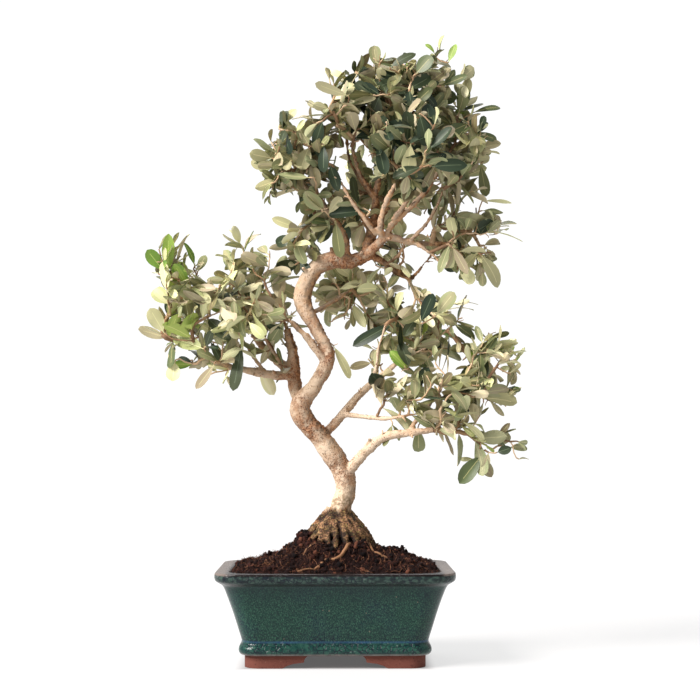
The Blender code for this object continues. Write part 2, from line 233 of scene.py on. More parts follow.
class Recipe(Nodes):
    """A material built up node by node."""

    def __init__(self, name, roughness, specular=0.5):
        self.material = bpy.data.materials.new(name)
        self.material.use_nodes = True
        super().__init__(self.material.node_tree)
        self.shader = self.tree.nodes["Principled BSDF"]
        self.surface({"Roughness": roughness, "Specular IOR Level": specular})

    def surface(self, inputs):
        """Give inputs of the surface their values."""
        for name, value in inputs.items():
            self.feed(self.shader.inputs[name], value)

    def place(self, stretch=(1, 1, 1)):
        """Where a point of the piece is, in metres, drawn together or out along each axis."""
        own = self.node("ShaderNodeTexCoord", "Object", {})
        return self.node("ShaderNodeVectorMath", 0, {0: own, 1: stretch}, operation="MULTIPLY")

    def along(self, axis):
        return self.node("ShaderNodeSeparateXYZ", axis, {0: self.place()})

    def band(self, value, low, high):
        """0 below low, 1 above high and smooth between them; low above high turns it round."""
        inputs = {"Value": value, "From Min": low, "From Max": high}
        return self.node("ShaderNodeMapRange", 0, inputs, interpolation_type="SMOOTHSTEP")

    def beyond(self, axis, low, high):
        """A band of how far a point is from the middle along X or Y, or of its height, in millimetres."""
        value = self.along(axis)
        if axis != "Z":
            value = self.math("ABSOLUTE", value)
        return self.band(value, low * MM, high * MM)

    def line(self, low, high, soft):
        """1 from a height of low to one of high and 0 outside, with soft edges."""
        rise = self.beyond("Z", low - soft, low + soft)
        return self.times(rise, self.beyond("Z", high + soft, high - soft))

    def noise(self, size, detail, stretch=(1, 1, 1)):
        """Noise of 0 to 1 whose lumps measure size millimetres."""
        inputs = {"Vector": self.place(stretch), "Scale": 1 / (size * MM), "Detail": detail}
        return self.node("ShaderNodeTexNoise", 0, inputs)

    def patches(self, size, detail, low, high, stretch=(1, 1, 1)):
        """A band of noise: the closer low and high, the harder the edges of the patches."""
        return self.band(self.noise(size, detail, stretch), low, high)

    def cells(self, size, low, high, feature="F1", stretch=(1, 1, 1)):
        """A band of how far a point is from the middle, or the edge, of its cell of size millimetres."""
        inputs = {"Vector": self.place(stretch), "Scale": 1 / (size * MM)}
        return self.band(self.node("ShaderNodeTexVoronoi", "Distance", inputs, feature=feature), low, high)

    def mix(self, share, first, second):
        return self.node("ShaderNodeMix", 2, {0: share, 6: first, 7: second}, data_type="RGBA")

    def layers(self, base, *tops):
        """Colours laid one over the other, each as far as its mask times its strength says."""
        for mask, strength, colour in tops:
            base = self.mix(self.times(mask, strength), base, colour)
        return base

    def colour(self, value):
        self.surface({"Base Color": value})

    def bump(self, height, depth):
        """Relief of depth millimetres where height goes from 0 to 1."""
        inputs = {"Height": height, "Distance": depth * MM, "Strength": 1.0}
        self.surface({"Normal": self.node("ShaderNodeBump", 0, inputs)})


def plain(name, colour, roughness, specular=0.5):
    made = Recipe(name, roughness, specular)
    made.colour(colour)
    return made.material


def plain_row(name, colours, roughness, specular):
    return [plain(f"{name}_{i}", colour, roughness, specular) for i, colour in enumerate(colours)]


UPPER_WALL = (44.0, 70.0)  # heights between which the pot's wall turns duller
BAND_EDGE = (24.0, 19.0)  # and its wall turns into the band round its foot
BAND_CRACKLE = (34.0, 20.0)  # how far the band's crackle runs up the wall
BLUE_LINE = (21.2, 22.8, 0.8)  # from, to, and how soft its edges are
UNDER_RIM_SHADE = (69.6, 71.6, 1.0)  # the painted shade under the rim's lip, likewise
ROOT_NECK = (124.0, 142.0, 12.0)  # the brown bark above the flare
RIM_FACE = (70.0, 73.0)
RIM_TOP = (77.4, 78.6)
RIM_SIDES = (86.0, 93.0)  # in x, where the rim's top turns paler
THIN_EDGE = (13.2, 11.2)  # where the glaze thins out below the band
# masks of the bark's colours: the first is browner bark with painted shade, the last is painted shade in
# the flare's hollows
BARK_MASKS = ("warm_and_shade", "rust", "foot", "hollow_shade")


def glaze_material():
    """Dark green glaze: fine mottling and veins, crackle on the band and the rim, thin pale edges, and
    painted shade under the rim's lip.
    """
    made = Recipe("pot_glaze", 0.2, specular=0.28)
    upper = made.beyond("Z", *UPPER_WALL)
    wall = made.layers(
        made.mix(made.patches(34, 3, 0.38, 0.62), (0, 38, 44), (0, 45, 38)),
        (upper, 0.5, (20, 41, 43)),
        (made.patches(0.55, 2, 0.46, 0.6, (1, 1, 0.3)), made.math("SUBTRACT", 0.72, made.times(upper, 0.3)),
         (56, 98, 77)),
        (made.cells(1.5, 0.16, 0.04, "DISTANCE_TO_EDGE", (1, 1, 0.42)), 0.5, (0, 22, 30)),
        (made.cells(9, 0.085, 0.05, stretch=(1, 1, 0.9)), 0.6, (120, 112, 96)),
    )
    # the band and the rim's face, with crackle that runs a little way over the wall
    face = made.beyond("Z", *RIM_FACE)
    near = made.math("MAXIMUM", made.beyond("Z", *BAND_CRACKLE), face)
    edges = made.cells(3.8, 0.1, 0.03, "DISTANCE_TO_EDGE")
    cracks = made.times(edges, near, made.patches(14, 3, 0.32, 0.52))
    band = made.mix(made.patches(5, 4, 0.36, 0.66), (4, 46, 44), (46, 84, 72))
    wall = made.layers(
        wall,
        (made.beyond("Z", *BAND_EDGE), 0.7, band),
        (face, 0.85, made.mix(made.patches(3, 4, 0.4, 0.62, (0.6, 1, 1)), (16, 30, 30), (58, 78, 70))),
        (cracks, 0.9, (4, 16, 30)),
        (made.line(*BLUE_LINE), made.noise(28, 2), (36, 76, 112)),
    )
    # the glaze runs thin over the band's lower edge; the rim's top is dark at the front and paler at the
    # sides; painted shade under the rim's lip
    front = made.mix(made.noise(14, 4), (8, 4, 4), (30, 19, 19))
    side = made.mix(made.noise(10, 4), (84, 73, 68), (136, 124, 116))
    wall = made.layers(
        wall,
        (made.times(made.beyond("Z", *THIN_EDGE), made.noise(9, 3)), 1.1, (136, 124, 120)),
        (made.beyond("Z", *RIM_TOP), 1.0, made.mix(made.beyond("X", *RIM_SIDES), front, side)),
        (made.times(made.line(*UNDER_RIM_SHADE), made.noise(20, 3)), 1.3, (34, 28, 28)),
    )
    made.colour(wall)
    made.bump(made.math("ADD", made.noise(1.8, 3, (1, 1, 0.4)), made.times(cracks, -0.8)), 0.2)
    return made.material


def clay_material():
    """Unglazed terracotta with dark and sandy grains."""
    made = Recipe("pot_clay", 0.85, specular=0.25)
    made.colour(made.layers(
        made.mix(made.noise(22, 4), (92, 50, 42), (122, 72, 60)),
        (made.patches(1.6, 4, 0.42, 0.3), 0.7, (62, 32, 28)),
        (made.patches(1.1, 2, 0.66, 0.76), 0.5, (160, 118, 100)),
    ))
    made.bump(made.noise(0.9, 4), 0.25)
    return made.material


def bark_material():
    """Pale olive bark with dark pits: rust at the bends, warmer crown limbs, a mossy ridged flare, and
    painted shade on right sides, the upper trunk, the first bend and the flare's hollows.
    """
    made = Recipe("olive_bark", 0.8, specular=0.25)
    warm_and_shade, rust, foot, hollow_shade = (
        made.node("ShaderNodeAttribute", "Fac", {}, attribute_name=name) for name in BARK_MASKS)
    bark = made.layers(
        made.mix(made.noise(16, 4, (1, 1, 0.5)), (206, 178, 148), (234, 212, 186)),
        (made.patches(5, 5, 0.5, 0.66), 0.55, (166, 138, 108)),
        # browner bark, and the painted shade on right sides, the upper trunk and the first bend
        (warm_and_shade, 0.85, made.mix(made.patches(5, 5, 0.36, 0.64), (88, 60, 38), (180, 134, 94))),
        (made.times(rust, made.patches(5, 4, 0.34, 0.56)), 0.85,
         made.mix(made.patches(1.3, 4, 0.42, 0.6), (112, 66, 40), (168, 118, 82))),
    )
    # the ridges of the roots: tan and rust, with moss, lichen and dark pits, and painted shade in the
    # hollows between them
    root = made.layers(
        made.mix(made.patches(6, 4, 0.38, 0.6), (42, 28, 20), (154, 115, 83)),
        (made.patches(3.6, 4, 0.47, 0.58), 0.5, (96, 82, 42)),
        (made.patches(1.7, 3, 0.61, 0.68), 0.8, (168, 152, 88)),
        (made.patches(1.5, 3, 0.54, 0.44), 0.75, (34, 21, 15)),
        (hollow_shade, 1.0, (14, 9, 8)),
    )
    above = made.math("SUBTRACT", 1.0, foot)
    neck = made.times(made.line(*ROOT_NECK), made.patches(2.6, 4, 0.47, 0.6), above)
    clusters = made.math("MAXIMUM", made.patches(8, 3, 0.4, 0.62), made.times(rust, 1.6))
    pits = made.times(made.patches(1.25, 3, 0.57, 0.66, (1, 1, 0.85)), clusters)
    made.colour(made.layers(
        made.mix(foot, bark, root),
        (neck, 0.8, (116, 98, 66)),
        (pits, 0.85, (118, 70, 42)),
        (made.cells(1.9, 0.2, 0.1), 0.6, (92, 58, 40)),
    ))
    made.bump(made.math("ADD", made.noise(1.4, 4, (1, 1, 0.7)), made.times(pits, -0.7)), 0.4)
    return made.material


def root_material():
    """Brown surface roots, paler where they have been rubbed."""
    made = Recipe("surface_root", 0.8, specular=0.3)
    made.colour(made.mix(made.noise(4, 4), (96, 62, 42), (172, 128, 90)))
    made.bump(made.noise(1.2, 3), 0.4)
    return made.material


def soil_material():
    """Damp dark red-brown peat."""
    made = Recipe("peat", 0.95, specular=0.15)
    peat = made.mix(made.noise(7, 4), (9, 5, 5), (34, 17, 15))
    made.colour(made.mix(made.patches(1.2, 3, 0.56, 0.7), peat, (80, 46, 36)))
    made.bump(made.noise(1.2, 5), 0.6)
    return made.material


# ---- studio and camera

FOCAL_PIXELS = 1494.0  # focal length in pixels of the 700-pixel frame
FRAME_PIXELS = 700.0
SENSOR = 36.0
CAMERA_PLACE = (0.0, -1305.0, 192.9)
CAMERA_YAW = math.atan(14.6 / FOCAL_PIXELS)  # to the right
CAMERA_TILT = math.atan(86 / FOCAL_PIXELS)  # upwards
FLOOR_SIZE = 12000.0
FLOOR_TONES = ((0.22, 0.218, 0.216, 1), (0.24, 0.238, 0.236, 1))
FLOOR_GLOW = 0.68
FAINT_GLOW = 0.16  # of the whole glow, under the pot: a painted shadow
GLOW_EDGES = {"X": (66.0, 86.0), "Y": (44.0, 58.0)}  # where the glow begins and where it is whole
LAMPS = (  # name, direction it shines from, how wide it looks in degrees, strength, colour
    ("key", (-0.82, -0.5, 0.76), 30, 6.0, (1.0, 0.955, 0.945)),
    ("back", (-0.1, 0.7, 0.9), 50, 1.2, (1.0, 1.0, 1.0)),
)
BACKDROP_STRENGTH = 1.05  # how bright the plain white background is
SKY_STRENGTH = 0.36  # and how much light it gives
MIRRORED_SHARE = 0.2  # how far its mirror images go from the one to the other
WHITE = (1, 1, 1, 1)


def make_studio():
    scene = bpy.context.scene
    camera = add_object("camera", bpy.data.cameras.new("camera"))
    camera.data.sensor_width = SENSOR
    camera.data.lens = SENSOR * FOCAL_PIXELS / FRAME_PIXELS
    camera.location = Vector(CAMERA_PLACE) * MM
    camera.rotation_euler = Euler((math.pi / 2 + CAMERA_TILT, 0, -CAMERA_YAW))
    scene.camera = camera
    for name, source, width, strength, colour in LAMPS:
        lamp = bpy.data.lights.new(name, "SUN")
        lamp.angle = math.radians(width)
        lamp.energy = strength
        lamp.color = colour
        holder = add_object(name, lamp)
        holder.location = source
        holder.rotation_mode = "QUATERNION"
        holder.rotation_quaternion = Vector(source).to_track_quat("Z", "Y")
    scene.world = bpy.data.worlds.new("studio")
    scene.world.use_nodes = True
    made = Nodes(scene.world.node_tree)
    sky = made.tree.nodes["Background"]
    made.feed(sky.inputs["Color"], WHITE)
    mirrored = made.node("ShaderNodeLightPath", "Is Glossy Ray", {})
    seen = made.node("ShaderNodeLightPath", "Is Camera Ray", {})
    share = made.math("MULTIPLY_ADD", mirrored, MIRRORED_SHARE, seen)
    strength = {"Value": share, "To Min": SKY_STRENGTH, "To Max": BACKDROP_STRENGTH}
    made.feed(sky.inputs["Strength"], made.node("ShaderNodeMapRange", 0, strength))
    scene.view_settings.view_transform = "Standard"


def make_floor():
    """A plain pale floor that glows. Its glow is faint under the pot, a painted shadow there that deepens
    the real one.
    """
    made = Recipe("studio_floor", 0.9, specular=0.1)
    made.colour(made.mix(made.noise(900, 2), *FLOOR_TONES))
    beside = [made.beyond(axis, *edges) for axis, edges in GLOW_EDGES.items()]
    share = made.math("MAXIMUM", made.math("MAXIMUM", *beside), FAINT_GLOW)
    made.surface({"Emission Color": WHITE, "Emission Strength": made.times(share, FLOOR_GLOW)})
    half = FLOOR_SIZE / 2
    heap = Heap()
    heap.add([(-half, -half, 0), (half, -half, 0), (half, half, 0), (-half, half, 0)], [(0, 1, 2, 3)])
    floor = add_object("studio_floor", heap.mesh("studio_floor"))
    floor.data.materials.append(made.material)


# ---- pot

POT_HALF = (100.5, 75.5)  # half sizes of the rim
POT_CORNER = 23.0
POT_CORNER_SHRINK = 0.35  # how much of the flare the corner radius gives up
POT_CORNER_STEPS = 12
POT_SIDE_STEPS = 22
POT_PROFILE = (  # inset from the rim's outline, height: up the outside, over the rim and down the inside
    (25.0, 10.3), (21.4, 10.8), (19.8, 12.4), (19.2, 15.0), (20.0, 17.9), (21.8, 21.5), (19.2, 31.0),
    (14.8, 46.0), (10.4, 59.0), (6.8, 68.0), (3.2, 71.0), (0.6, 73.2), (-0.2, 76.5), (0.2, 79.1),
    (1.6, 79.9), (6.5, 80.0), (10.6, 79.8), (12.2, 78.0), (12.6, 74.0), (16.0, 64.0), (22.6, 46.0),
    (28.0, 22.0),
)
PROFILE_STEPS = 4
POT_WAVE = 0.35  # how uneven the hand-pressed wall is
POT_WAVE_SIZE = 45.0
POT_WAVE_HEIGHTS = (11, 79)  # between these it is uneven
POT_EDGE_ANGLE = 50.0
CLAY_TOP = 10.9  # the pot's underside is bare clay up to here
DRAIN_RADIUS = 8.0
DRAIN_OFFSET = 38.0
DRILL_HEIGHT = 40
DRILL_SIDES = 40
FOOT_HEIGHT = 10.0
FOOT_INSET = 24.5
FOOT_THICKNESS = 15.0
FOOT_LENGTH = (56.0, 38.0)
FOOT_FLAT = (32.0, 21.0)
FOOT_RISE = ((0.0, 0.0), (4.0, 2.2), (9.0, 3.8))
FOOT_BEVEL = 1.3
FOOT_BEVEL_ANGLE = 40
ARCH_STEP = 5.0
ARCH_RADIUS = 6.0
ARCH_TURNS = 8
REACH = 90.0  # half length of a cutter that runs right through


def rounded_rectangle(half_x, half_y, radius, corner_steps=POT_CORNER_STEPS, side_steps=POT_SIDE_STEPS):
    """Points round a rectangle with round corners, turning left from its right side."""
    points = []
    for quarter, (sign_x, sign_y) in enumerate(((1, 1), (-1, 1), (-1, -1), (1, -1))):
        middle = np.array((sign_x * (half_x - radius), sign_y * (half_y - radius)))
        turns = (quarter + np.arange(corner_steps + 1) / corner_steps) * math.pi / 2
        corner = middle + radius * np.stack([np.cos(turns), np.sin(turns)], axis=1)
        if points:
            points += join_points(points[-1], corner[0], side_steps)
        points += list(corner)
    return np.array(points + join_points(points[-1], points[0], side_steps))


def join_points(start, end, steps):
    """The points between two points, without the two."""
    return [start + (end - start) * i / steps for i in range(1, steps)]


def corner_radius(inset):
    return POT_CORNER - POT_CORNER_SHRINK * inset


def pot_section(inset, z):
    ring = rounded_rectangle(POT_HALF[0] - inset, POT_HALF[1] - inset, corner_radius(inset))
    return np.column_stack([ring, np.full(len(ring), z)])


def make_pot(glaze, clay):
    rings = [pot_section(inset, z) for inset, z in smooth_path(POT_PROFILE, PROFILE_STEPS)]
    low, high = POT_WAVE_HEIGHTS
    for point in (point for ring in rings for point in ring):
        outward = np.array((point[0], point[1], 0)) / max(np.hypot(point[0], point[1]), 1)
        if low < point[2] < high:
            point += outward * POT_WAVE * (lumps(point, POT_WAVE_SIZE, 2) - 0.6)
    heap = Heap()
    heap.add_rings(rings)
    shell = add_object("shell", heap.mesh("shell", turn_out=True))
    drills = []
    for x in (-DRAIN_OFFSET, DRAIN_OFFSET):
        tube = Heap()
        tube.add_tube([(x, 0, 0), (x, 0, DRILL_HEIGHT)], (DRAIN_RADIUS,) * 2, DRILL_SIDES)
        drills.append(add_object("drill", tube.mesh("drill", turn_out=True)))
        cut(shell, drills[-1])
    mesh = baked(shell, "pot_shell")
    for drill in drills:
        bpy.data.objects.remove(drill)
    smooth_but_edges(mesh, POT_EDGE_ANGLE)
    for face in mesh.polygons:
        x, y, z = face.center / MM
        by_drain = math.hypot(abs(x) - DRAIN_OFFSET, y) < DRAIN_RADIUS + 0.5
        face.material_index = int(z < CLAY_TOP or (by_drain and z < POT_PROFILE[-1][1] + 1))
    piece("pot_glazed_shell", mesh, (glaze, clay), ("pot_body",))


def arch_outline(reach, flat, length):
    """The opening between two feet, seen along it: it goes up each foot's cloud curve."""
    start = reach - flat
    step_end = reach - length + ARCH_RADIUS
    half = [(start, -1)] + [(start - past, height) for past, height in FOOT_RISE] + [(step_end, ARCH_STEP)]
    rise = FOOT_HEIGHT + 1 - ARCH_STEP
    for step in range(1, ARCH_TURNS + 1):
        turn = math.pi / 2 * step / ARCH_TURNS
        half.append((step_end - ARCH_RADIUS * (1 - math.cos(turn)), ARCH_STEP + rise * math.sin(turn)))
    return half + [(-across, height) for across, height in reversed(half)]


def prism(name, bottom, top):
    """An object with two outlines of equally many points as its ends."""
    heap = Heap()
    heap.add_rings([np.array(bottom, float), np.array(top, float)])
    return add_object(name, heap.mesh(name, turn_out=True))


def make_feet(clay):
    """Four L-shaped feet under the corners, cut out by an arch that runs each way."""
    reach_x, reach_y = (half - FOOT_INSET for half in POT_HALF)
    radius = corner_radius(FOOT_INSET)
    end_x, end_y = reach_x - FOOT_LENGTH[0], reach_y - FOOT_LENGTH[1]
    inner_x, inner_y = reach_x - FOOT_THICKNESS, reach_y - FOOT_THICKNESS
    outline = [(inner_x, inner_y), (end_x, inner_y), (end_x, reach_y)]
    for turn in np.arange(POT_CORNER_STEPS + 1) / POT_CORNER_STEPS * math.pi / 2:
        x, y = reach_x - radius + radius * math.sin(turn), reach_y - radius + radius * math.cos(turn)
        outline.append((x, y))
    outline += [(reach_x, end_y), (inner_x, end_y)]
    front = arch_outline(reach_x, FOOT_FLAT[0], FOOT_LENGTH[0])
    side = arch_outline(reach_y, FOOT_FLAT[1], FOOT_LENGTH[1])
    arches = (
        prism("arch_front", *([(a, y, z) for a, z in front] for y in (-REACH, REACH))),
        prism("arch_side", *([(x, a, z) for a, z in side] for x in (-REACH, REACH))),
    )
    for corner, sign_x, sign_y in (
            ("front_left", -1, -1), ("front_right", 1, -1), ("back_left", -1, 1), ("back_right", 1, 1)):
        ends = ([(sign_x * x, sign_y * y, z) for x, y in outline] for z in (0, FOOT_HEIGHT + 0.2))
        foot = prism("foot", *ends)
        for arch in arches:
            cut(foot, arch)
        bevel = foot.modifiers.new("edge", "BEVEL")
        bevel.width = FOOT_BEVEL * MM
        bevel.segments = 3
        bevel.limit_method = "ANGLE"
        bevel.angle_limit = math.radians(FOOT_BEVEL_ANGLE)
        mesh = baked(foot, f"foot_{corner}")
        smooth_but_edges(mesh, POT_EDGE_ANGLE)
        piece(f"clay_foot_{corner}", mesh, (clay,), (f"pot_foot_{corner}",))
    for arch in arches:
        bpy.data.objects.remove(arch)


# ---- soil

SOIL_INSET = 12.5  # from the rim's outline to the soil's edge
SOIL_EDGE = 78.0  # its height there
SOIL_TOP = 100.0  # and under the trunk
SOIL_FLOOR = 66.0
SOIL_OVERLAP = 0.3  # how far the bed reaches into the wall
SOIL_FLOOR_SHARE = 0.97  # of the outline's size, that of its underside
SOIL_OUTLINE_STEPS = (10, 30)  # round a corner and along a side
SOIL_PITCH = 1.3
SOIL_ROUNDNESS = 4.0  # of the mound's level lines: 2 would be an ellipse
SOIL_SHOULDER = 0.045  # share of the way in over which the soil rises from its edge
SOIL_SHOULDER_RISE = 3.4
MOUND_FLAT = 0.26  # share of the way to the edge at which the mound's flat top begins
CLODS = (  # x, y, radius, height: lumps of peat that stand out
    (-31, -2, 9, 4.5), (-24, -4, 8, 3), (-38, 8, 10, 3.5), (64, 16, 7, 3.5), (34, 14, 7, 3), (50, 6, 11, 5),
    (60, -4, 9, 4.5), (-72, -6, 16, -3.5), (78, 8, 9, 2), (-24, -34, 10, 3.5), (26, -36, 12, 3.5),
    (5, 38, 16, 4), (-60, -34, 12, 1), (62, -38, 10, 3), (-2, -44, 9, 3), (-26, 22, 8, 5),
    (46, -20, 7, 3.5), (-12, -32, 13, 8), (8, -33, 13, 8), (25, -24, 12, 5), (0, 30, 16, 7),
    (-28, -6, 9, 4.5), (-24, -14, 9, 5),
)
SOIL_CREASE = 2.4  # depth of the cracks between clods
CRUMBS = 3200
CLUMPS = (  # x, y, radius, rise, crumbs: heaps of coarse peat
    (-30, -4, 11, 3.2, 170), (-24, -13, 9, 3, 80), (56, -4, 11, 3, 130), (40, -10, 9, 3, 70),
    (-46, -12, 10, 2.5, 60), (-6, -34, 11, 3, 80), (20, -34, 10, 3, 70), (68, -24, 11, 2.5, 60),
    (-66, -30, 11, 2.5, 60),
)
CRUMB_TONES = ((26, 13, 11), (50, 26, 21), (14, 8, 8), (92, 56, 42))
CRUMB_SHARES = (4, 2, 2, 1)
COARSE = 1.3  # a larger crumb has more faces
FIBRES = 3400
FIBRE_STEPS = 5
FIBRE_TONES = ((30, 15, 13), (70, 40, 30), (128, 88, 64))
FIBRE_SHARES = (4, 3, 1)


def soil_height(x, y, fine=True):
    """The height of the soil at a place in the pot, with or without its fine lumps and cracks."""
    half_x, half_y = (half - SOIL_INSET for half in POT_HALF)
    out = (abs(x / half_x) ** SOIL_ROUNDNESS + abs(y / half_y) ** SOIL_ROUNDNESS) ** (1 / SOIL_ROUNDNESS)
    share = min(1.0, max(0.0, (1 - out) / (1 - MOUND_FLAT)))
    shoulder = min(1.0, max(0.0, 1 - out) / SOIL_SHOULDER)
    height = SOIL_EDGE + SOIL_SHOULDER_RISE * shoulder * (0.45 + 0.55 * abs(x) / half_x)
    height += (SOIL_TOP - SOIL_EDGE - 1.5) * share**1.35
    for clod_x, clod_y, radius, rise in CLODS:
        away = math.hypot(x - clod_x, y - clod_y) / radius
        height += rise * math.exp(-1.5 * away * away)
    rough = lumps((x, y, 3), 9, 4, 3.1) * 2.6
    if fine:
        rough += lumps((x, y, 9), 3.4, 3, 7.7) * 1.8
        rough -= SOIL_CREASE * max(0.0, 1 - abs(lumps((x, y, 5), 9, 2, 4.4)) / 0.16)
    edge = min(1.0, 12 * max(0.0, 1 - out) + 0.2)
    return height + edge * rough


def soil_spot(rng):
    """A random place on the soil."""
    while True:
        x, y = (rng.uniform(-1, 1) * (half - SOIL_INSET - 1.5) for half in POT_HALF)
        past = [max(0.0, abs(part) - (half - POT_CORNER)) for part, half in zip((x, y), POT_HALF)]
        if math.hypot(*past) < POT_CORNER - SOIL_INSET:
            return x, y


def make_soil(material):
    half_x, half_y = (half - SOIL_INSET + SOIL_OVERLAP for half in POT_HALF)
    outline = rounded_rectangle(half_x, half_y, corner_radius(SOIL_INSET), *SOIL_OUTLINE_STEPS)
    rings = [np.array([(x, y, SOIL_FLOOR) for x, y in outline * SOIL_FLOOR_SHARE])]
    steps = int(half_y / SOIL_PITCH)
    for step in range(steps):
        rings.append(np.array([(x, y, soil_height(x, y)) for x, y in outline * (1 - step / steps)]))
    heap = Heap()
    heap.add_rings(rings)
    piece("soil_bed", heap.mesh("soil_bed", turn_out=True), (material,), ("soil",))


def ball(subdivisions):
    """Points and faces of a ball of radius 1."""
    shape = bmesh.new()
    bmesh.ops.create_icosphere(shape, subdivisions=subdivisions, radius=1)
    points = np.array([v.co for v in shape.verts])
    faces = [tuple(v.index for v in f.verts) for f in shape.faces]
    shape.free()
    return points, faces


def make_crumbs(rng):
    """Crumbs of peat all over the soil and heaped up in clumps."""
    spots = []
    for _ in range(CRUMBS):
        x, y = soil_spot(rng)
        size = 0.45 + 1.9 * rng.random() ** 5
        spots.append((x, y, soil_height(x, y) + size * rng.uniform(-0.2, 0.5), size))
    for middle_x, middle_y, radius, rise, count in CLUMPS:
        for _ in range(count):
            turn, away = rng.uniform(0, 2 * math.pi), math.sqrt(rng.random())
            x, y = middle_x + radius * away * math.cos(turn), middle_y + radius * away * math.sin(turn)
            lift = rise * (1 - away * away) * rng.random()
            spots.append((x, y, soil_height(x, y) + lift, 0.6 + 1.5 * rng.random() ** 2))
    small, large = ball(1), ball(2)
    crumbs = Heap()
    for x, y, z, size in spots:
        points, faces = large if size > COARSE else small
        stretch = np.array([rng.uniform(0.7, 1.3) for _ in range(3)]) * size
        seed = rng.uniform(0, 50)
        swell = np.array([1 + 0.7 * lumps(p, 1.1, 2, seed) for p in points])
        turn = np.array(Euler([rng.uniform(0, 6.3) for _ in range(3)]).to_matrix())
        shaped = (points * swell[:, None] * stretch) @ turn.T
        crumbs.add(shaped + (x, y, z), faces, dealt(rng, CRUMB_SHARES))
    tones = plain_row("crumb", CRUMB_TONES, 0.95, 0.15)
    piece("soil_crumbs", crumbs.mesh("soil_crumbs"), tones)


def make_fibres(rng):
    """Shreds of peat that wind over the soil and stand up at their ends."""
    fibres = Heap()
    for _ in range(FIBRES):
        x, y = soil_spot(rng)
        heading = rng.uniform(0, 2 * math.pi)
        length = rng.uniform(4, 15)
        path = []
        for step in range(FIBRE_STEPS + 1):
            lift = rng.uniform(0.1, 1.8) if step < FIBRE_STEPS else rng.uniform(0.4, 3.8)
            path.append((x, y, soil_height(x, y) + lift))
            heading += rng.gauss(0, 0.45)
            x += length / FIBRE_STEPS * math.cos(heading)
            y += length / FIBRE_STEPS * math.sin(heading)
            if abs(x) > POT_HALF[0] - SOIL_INSET or abs(y) > POT_HALF[1] - SOIL_INSET:
                break
        if len(path) < 3:
            continue
        thick = rng.uniform(0.12, 0.34)
        fibres.add_tube(path, np.linspace(thick, thick * 0.5, len(path)), 3, dealt(rng, FIBRE_SHARES))
    tones = plain_row("fibre", FIBRE_TONES, 0.9, 0.2)
    piece("soil_fibres", fibres.mesh("soil_fibres"), tones)


# ---- trunk and boughs

TRUNK = (  # x, y, z, radius
    (3, 0, 95, 22.0), (3, 0, 106, 17.0), (3, 0, 115, 12.0), (3.5, 0, 122, 9.8), (4.8, 0, 129, 9.0),
    (6, 0, 136, 9.3), (9, -1, 146, 8.9), (6, -2, 163, 9.6), (-12, -6, 190, 9.2), (-31, -9, 216, 9.0),
    (-17, -7, 238, 6.7), (-6.5, -4, 262, 6.5), (-16.5, 1, 286, 5.9), (-29, 4, 313, 8.0),
    (-19.5, 3, 338, 7.6), (-4, 2, 347, 7.8), (14, 0, 346, 6.2), (32, -1, 354, 5.2),
)
FLARE_KNOTS = 6  # of the trunk's knots, those inside the root flare
BOUGHS = {
    "bough_left": ((-30, -6, 219, 6.0), (-34.5, 5, 231, 5.6), (-37, 10, 250, 6.0), (-38, 13, 268, 4.8),
        (-43, 15, 288, 3.2)),
    "bough_left_low": ((-38, 8, 246, 4.4), (-52, 5, 246, 3.9), (-76, 0, 250, 3.3), (-103, -7, 257, 2.7),
        (-122, -12, 274, 2.0)),
    "bough_left_back": ((-38, 11, 249, 4.8), (-50, 17, 258, 4.4), (-64, 25, 271, 3.6), (-74, 29, 284, 2.6)),
    "bough_left_inner": ((-8, -5, 256, 3.8), (-16, -9, 267, 3.5), (-27, -6, 281, 3.0), (-39, -2, 293, 2.2)),
    "bough_right_low": ((9, -3, 158, 5.2), (17, -8, 169, 5.0), (29, -15, 182.5, 4.6), (43, -22, 192.5, 4.1),
        (62, -28, 195.5, 3.5), (84, -31, 198, 2.7)),
    "bough_right_high": ((-16, -5, 191, 4.6), (-4, 1, 200, 4.3), (9, 8, 215, 4.0), (23, 15, 231, 3.5),
        (38, 21, 244, 3.0), (54, 26, 257, 2.3)),
    "bough_right_middle": ((6, 6, 212, 2.6), (23, -2, 210, 2.3), (42, -14, 208, 2.0), (60, -24, 210, 1.6)),
    "bough_middle": ((-24, 4, 299, 2.4), (-13, 10, 305, 2.3), (2, 21, 315, 2.1), (14, 30, 324, 1.8)),
    "bough_crown": ((26, 0, 350, 5.6), (30, 3, 364, 5.3), (33, 8, 378, 5.0), (40, 16, 391, 4.4),
        (50, 25, 403, 3.4)),
    "bough_crown_left": ((8, 0, 346, 3.6), (10, 0, 358, 3.4), (7, 0, 372, 3.0), (-4, 0, 386, 2.6),
        (-14, -2, 402, 2.0)),
    "bough_crown_right": ((26, -3, 350, 4.6), (35, -9, 358, 4.2), (46, -12, 366, 3.6), (62, -10, 362, 2.8),
        (84, -4, 361, 2.3), (100, 0, 362, 1.8)),
    "bough_crown_high": ((43, -12, 364, 3.2), (50, -14, 377, 3.1), (66, -15, 392, 2.8), (80, -12, 408, 2.2),
        (90, -8, 424, 1.7)),
    "bough_crown_front": ((41, -11, 363, 3.4), (39, -20, 376, 3.1), (43, -28, 392, 2.7),
        (52, -36, 410, 2.1)),
    "bough_crown_leader": ((34, 9, 381, 3.4), (35, 7, 400, 3.2), (39, 3, 428, 2.7), (43, 0, 455, 2.1)),
    "bough_crown_low": ((29, 0, 352, 3.8), (40, 4, 347, 3.5), (53, 8, 339, 3.2), (65, 11, 333, 2.8),
        (71, 11, 336, 1.5), (80, 10, 347, 1.2), (90, 8, 358, 1.0)),
}
